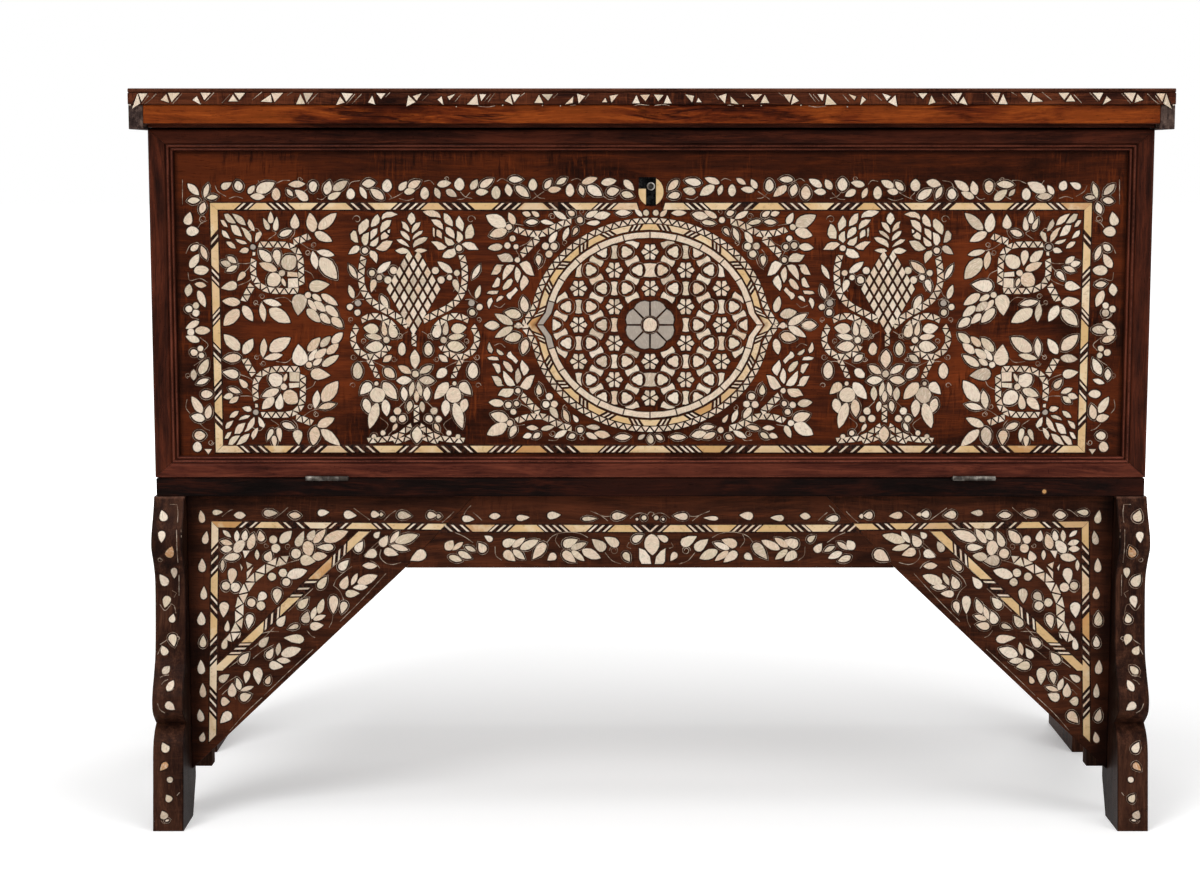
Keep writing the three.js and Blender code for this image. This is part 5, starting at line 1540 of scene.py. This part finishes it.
leg = dict(  # the left one; the right one mirrors it
    drop=[
        (165, 522, 161.5, 510.5, 9.5), (162, 531.5, 161, 543.5, 8), (174, 568, 174.5, 578.5, 7),
        (167.5, 586, 160, 574.5, 9.5), (168, 596, 165, 608.5, 8.5), (171.5, 623, 173, 614, 7),
        (171.5, 634.5, 174.5, 646.5, 8.5), (166.5, 655.5, 162, 646, 8), (165.5, 704, 175, 710.5, 8.5),
        (167.5, 753, 162, 742.5, 8.5), (171, 802.5, 166, 795, 7.5), (166, 819.5, 162, 811, 8.5),
    ],
    amber=[(168, 558, 171.5, 546.5, 9), (167.5, 763, 160, 771.5, 7)],
    leaf=[(163, 675, 170.5, 666.5, 7.5), (167.5, 692, 174, 680.5, 7)],
    bud=[(167.3, 782.5, 172.5, 778, 6.5)],
    lens=[(164.5, 821.5, 169.5, 820.5, 2.5)],
    string=[
        [(170, 505), (177, 505)], [(177, 505), (178, 513), (177.5, 523)],
        [(176.5, 530), (177, 550), (178, 563)], [(181, 530), (181.5, 538)], [(172, 591), (176.5, 593.5)],
        [(176.5, 593.5), (174, 598)], [(160, 605), (165, 611), (171, 605)],
        [(160, 678), (164.5, 676), (169, 675.5)], [(161.5, 685), (164, 682), (168, 680)],
        [(168, 692), (171, 691), (174, 689)], [(157.5, 704), (160, 710), (165, 713.5)],
        [(179, 575), (179, 596)], [(160, 645), (166, 641), (170, 637)],
        [(161, 821), (163, 823.5), (165, 824)], [(177, 796), (179.5, 793)],
        [(157.5, 655), (160, 650), (162, 646)], [(176, 614), (174, 606), (169, 604)],
    ],
    curl=[(178, 639, 2.6, 90, 1.1), (160, 560, 2.6, 0, 1.1)],
)


def dressLegs():
    face = CurvedFace(nodes["left_front_leg"])
    inlay = Inlay("legs", "carcass", face, "right_front_leg", seed=8, tones=(0.5, 0.93))
    inlay.draw(leg, [same, mirrored])
    inlay.build(finishes)


lidBand = dict(  # left half: pairs of triangles, one standing and one hanging
    block=[
        ((137.5, 94), (132, 109.5), (140.5, 104)), ((138.5, 93.8), (147.5, 93.8), (141.5, 102.5)),
        ((160.5, 100.5), (166.3, 94.5), (169.3, 103.3)), ((167.8, 93.3), (180, 93.3), (171.6, 102.7)),
        ((192.3, 100.5), (197, 96.5), (201, 105.2)), ((200.5, 93.2), (211, 93.4), (204.3, 101)),
        ((228.3, 102), (233, 95), (238, 102)), ((234.2, 93.3), (245.3, 93.4), (239.5, 100.6)),
        ((260.5, 102), (270.8, 95), (272.2, 102.8)), ((271.3, 93.6), (283.3, 93.3), (274.5, 103)),
        ((296, 104.8), (300.5, 94.5), (305.2, 104.5)), ((303.3, 93.4), (313.2, 93.5), (306.6, 103.2)),
        ((336, 105.7), (340.2, 97), (344.8, 103.2)), ((341.4, 93.4), (353, 94), (346.2, 102.3)),
        ((368, 103), (372.3, 96), (375.3, 105.2)), ((376.3, 93.7), (385.7, 93.8), (381, 99.8)),
        ((406.3, 107.2), (408.3, 95.7), (415.7, 102.6)), ((412.8, 96.6), (421.5, 93.8), (416.7, 101.4)),
        ((437.4, 100.2), (441.6, 96.6), (443.6, 105.8)), ((447.3, 97), (455.4, 94.4), (449.2, 100.9)),
        ((467, 105), (476.8, 94.6), (478.6, 105.5)), ((479.4, 94.6), (486.4, 94.7), (481.3, 101.8)),
        ((504.6, 101.4), (510.3, 95.5), (512.8, 105.2)), ((511.5, 94.7), (520.3, 95), (514.2, 103.2)),
        ((534.3, 103.5), (539, 95.2), (543.3, 103.7)), ((541.4, 94.7), (553, 94.7), (548.2, 101.3)),
        ((564.8, 105), (573.3, 96.8), (573, 103.6)), ((577, 94), (585.3, 96.6), (578.6, 104.3)),
        ((601.8, 102.8), (605.4, 98.2), (607.4, 102.8)), ((609.5, 96.3), (618.4, 94.8), (611.4, 103.2)),
        ((632, 104), (636.5, 95.5), (640, 104)), ((640, 95.4), (650, 95), (645.5, 102)),
    ],
    round=[
        (130, 105.5, 1.0), (456.3, 107.2, 0.7), (502.7, 105.8, 0.8), (542.5, 106, 0.7), (560.5, 106.4, 0.7),
    ],
    string=[
        [(144.5, 104.6), (150, 100.6), (156.3, 94.2)], [(142.5, 104), (148.5, 96)], [(173, 104), (182, 94)],
        [(205.5, 102), (214, 93.2)], [(222, 103.5), (230, 95)], [(252, 100.5), (262, 92.5)],
        [(287, 96), (292.5, 92.5)], [(308, 104), (318, 93.5)], [(346.5, 104.5), (355, 94.5)],
        [(352, 104.5), (361.5, 94.5)], [(385.5, 97.5), (390, 93)], [(484.5, 101.8), (490.5, 95)],
        [(488, 102.5), (494.5, 94)], [(520, 97), (525, 93.3)], [(422, 101), (429, 94.5)],
        [(585, 100), (589, 94.5)], [(478, 106.6), (487, 107.6), (495, 106.4)], [(570, 106), (576, 105.5)],
        [(634, 106.2), (640, 105), (649, 106)], [(455, 102), (461, 95)], [(553, 98.5), (558, 94)],
    ],
)


def dressLid():
    inlay = Inlay("lid", "lid", Face(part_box("lid_edge_band")[0].y), "lid_edge_band", seed=3)
    inlay.draw(lidBand, [same, mirrored])
    inlay.build(finishes)


dressPanel()
dressStand()
plugRail()
dressLegs()
dressLid()
print("inlay let in")


lamps = dict(
    key=dict(place=(-2.0, -3.2, 3.6), size=2.0, power=92),
    fill=dict(place=(2.6, -3.0, 2.2), size=2.6, power=42),
    top=dict(place=(0.0, -0.6, 3.6), size=2.6, power=50),
    back=dict(place=(0.6, 3.2, 2.6), size=2.6, power=65),
)
studio = dict(
    aim=(0, 0, 0.45),
    world=0.3,  # strength of its light; seen directly it is white
    side=40.0, paper=(0.86, 0.86, 0.86),
    fade=(1.0, 3.2), near=0.3,  # the floor's glow when seen directly, rising from near to 1 over these metres
)


def addLamp(name, place, size, power):
    data = bpy.data.lights.new(name, "AREA")
    data.shape, data.size, data.energy = "DISK", size, power
    lamp = bpy.data.objects.new(name, data)
    lamp.location = place
    x, y, z = np.array(studio["aim"]) - place
    lamp.rotation_euler = (math.atan2(math.hypot(x, y), -z), 0, math.atan2(y, x) - math.pi / 2)
    bpy.context.scene.collection.objects.link(lamp)


def seenDirectly(paint):
    # 1 for rays from the camera and for those that metal and glass send on
    seen = paint.node("ShaderNodeLightPath", out="Is Camera Ray")
    for ray in ("Is Glossy Ray", "Is Transmission Ray"):
        seen = seen.most(paint.node("ShaderNodeLightPath", out=ray))
    return seen


def addWorld():
    world = bpy.data.worlds.new("studio")
    bpy.context.scene.world = world
    paint = Paint(world)
    strength = paint.step(seenDirectly(paint), 0.0, 1.0, studio["world"], 1.0)
    light = paint.node("ShaderNodeBackground", None, {"Color": (1, 1, 1, 1), "Strength": strength})
    paint.node("ShaderNodeOutputWorld", None, {"Surface": light})


def addFloor():
    side = studio["side"]
    mesh = bpy.data.meshes.new("floor")
    corners = [(-side, -side, 0), (side, -side, 0), (side, side, 0), (-side, side, 0)]
    mesh.from_pydata(corners, [], [(0, 1, 2, 3)])
    floor = bpy.data.objects.new("floor", mesh)
    bpy.context.scene.collection.objects.link(floor)
    paint = Paint(bpy.data.materials.new("pale_floor"))
    apart = paint.node("ShaderNodeVectorMath", dict(operation="LENGTH"), {0: paint.place()}, out="Value")
    glow = seenDirectly(paint) * paint.step(apart, *studio["fade"], studio["near"], 1.0)
    paint.finish((*studio["paper"], 1), 0.9, None, Specular_IOR_Level=0.0,
                 Emission_Color=(1, 1, 1, 1), Emission_Strength=glow)
    mesh.materials.append(paint.owner)


for name, lamp in lamps.items():
    addLamp(name, **lamp)
addWorld()
addFloor()
bpy.context.scene.view_settings.view_transform = "Standard"
print("light and floor set")
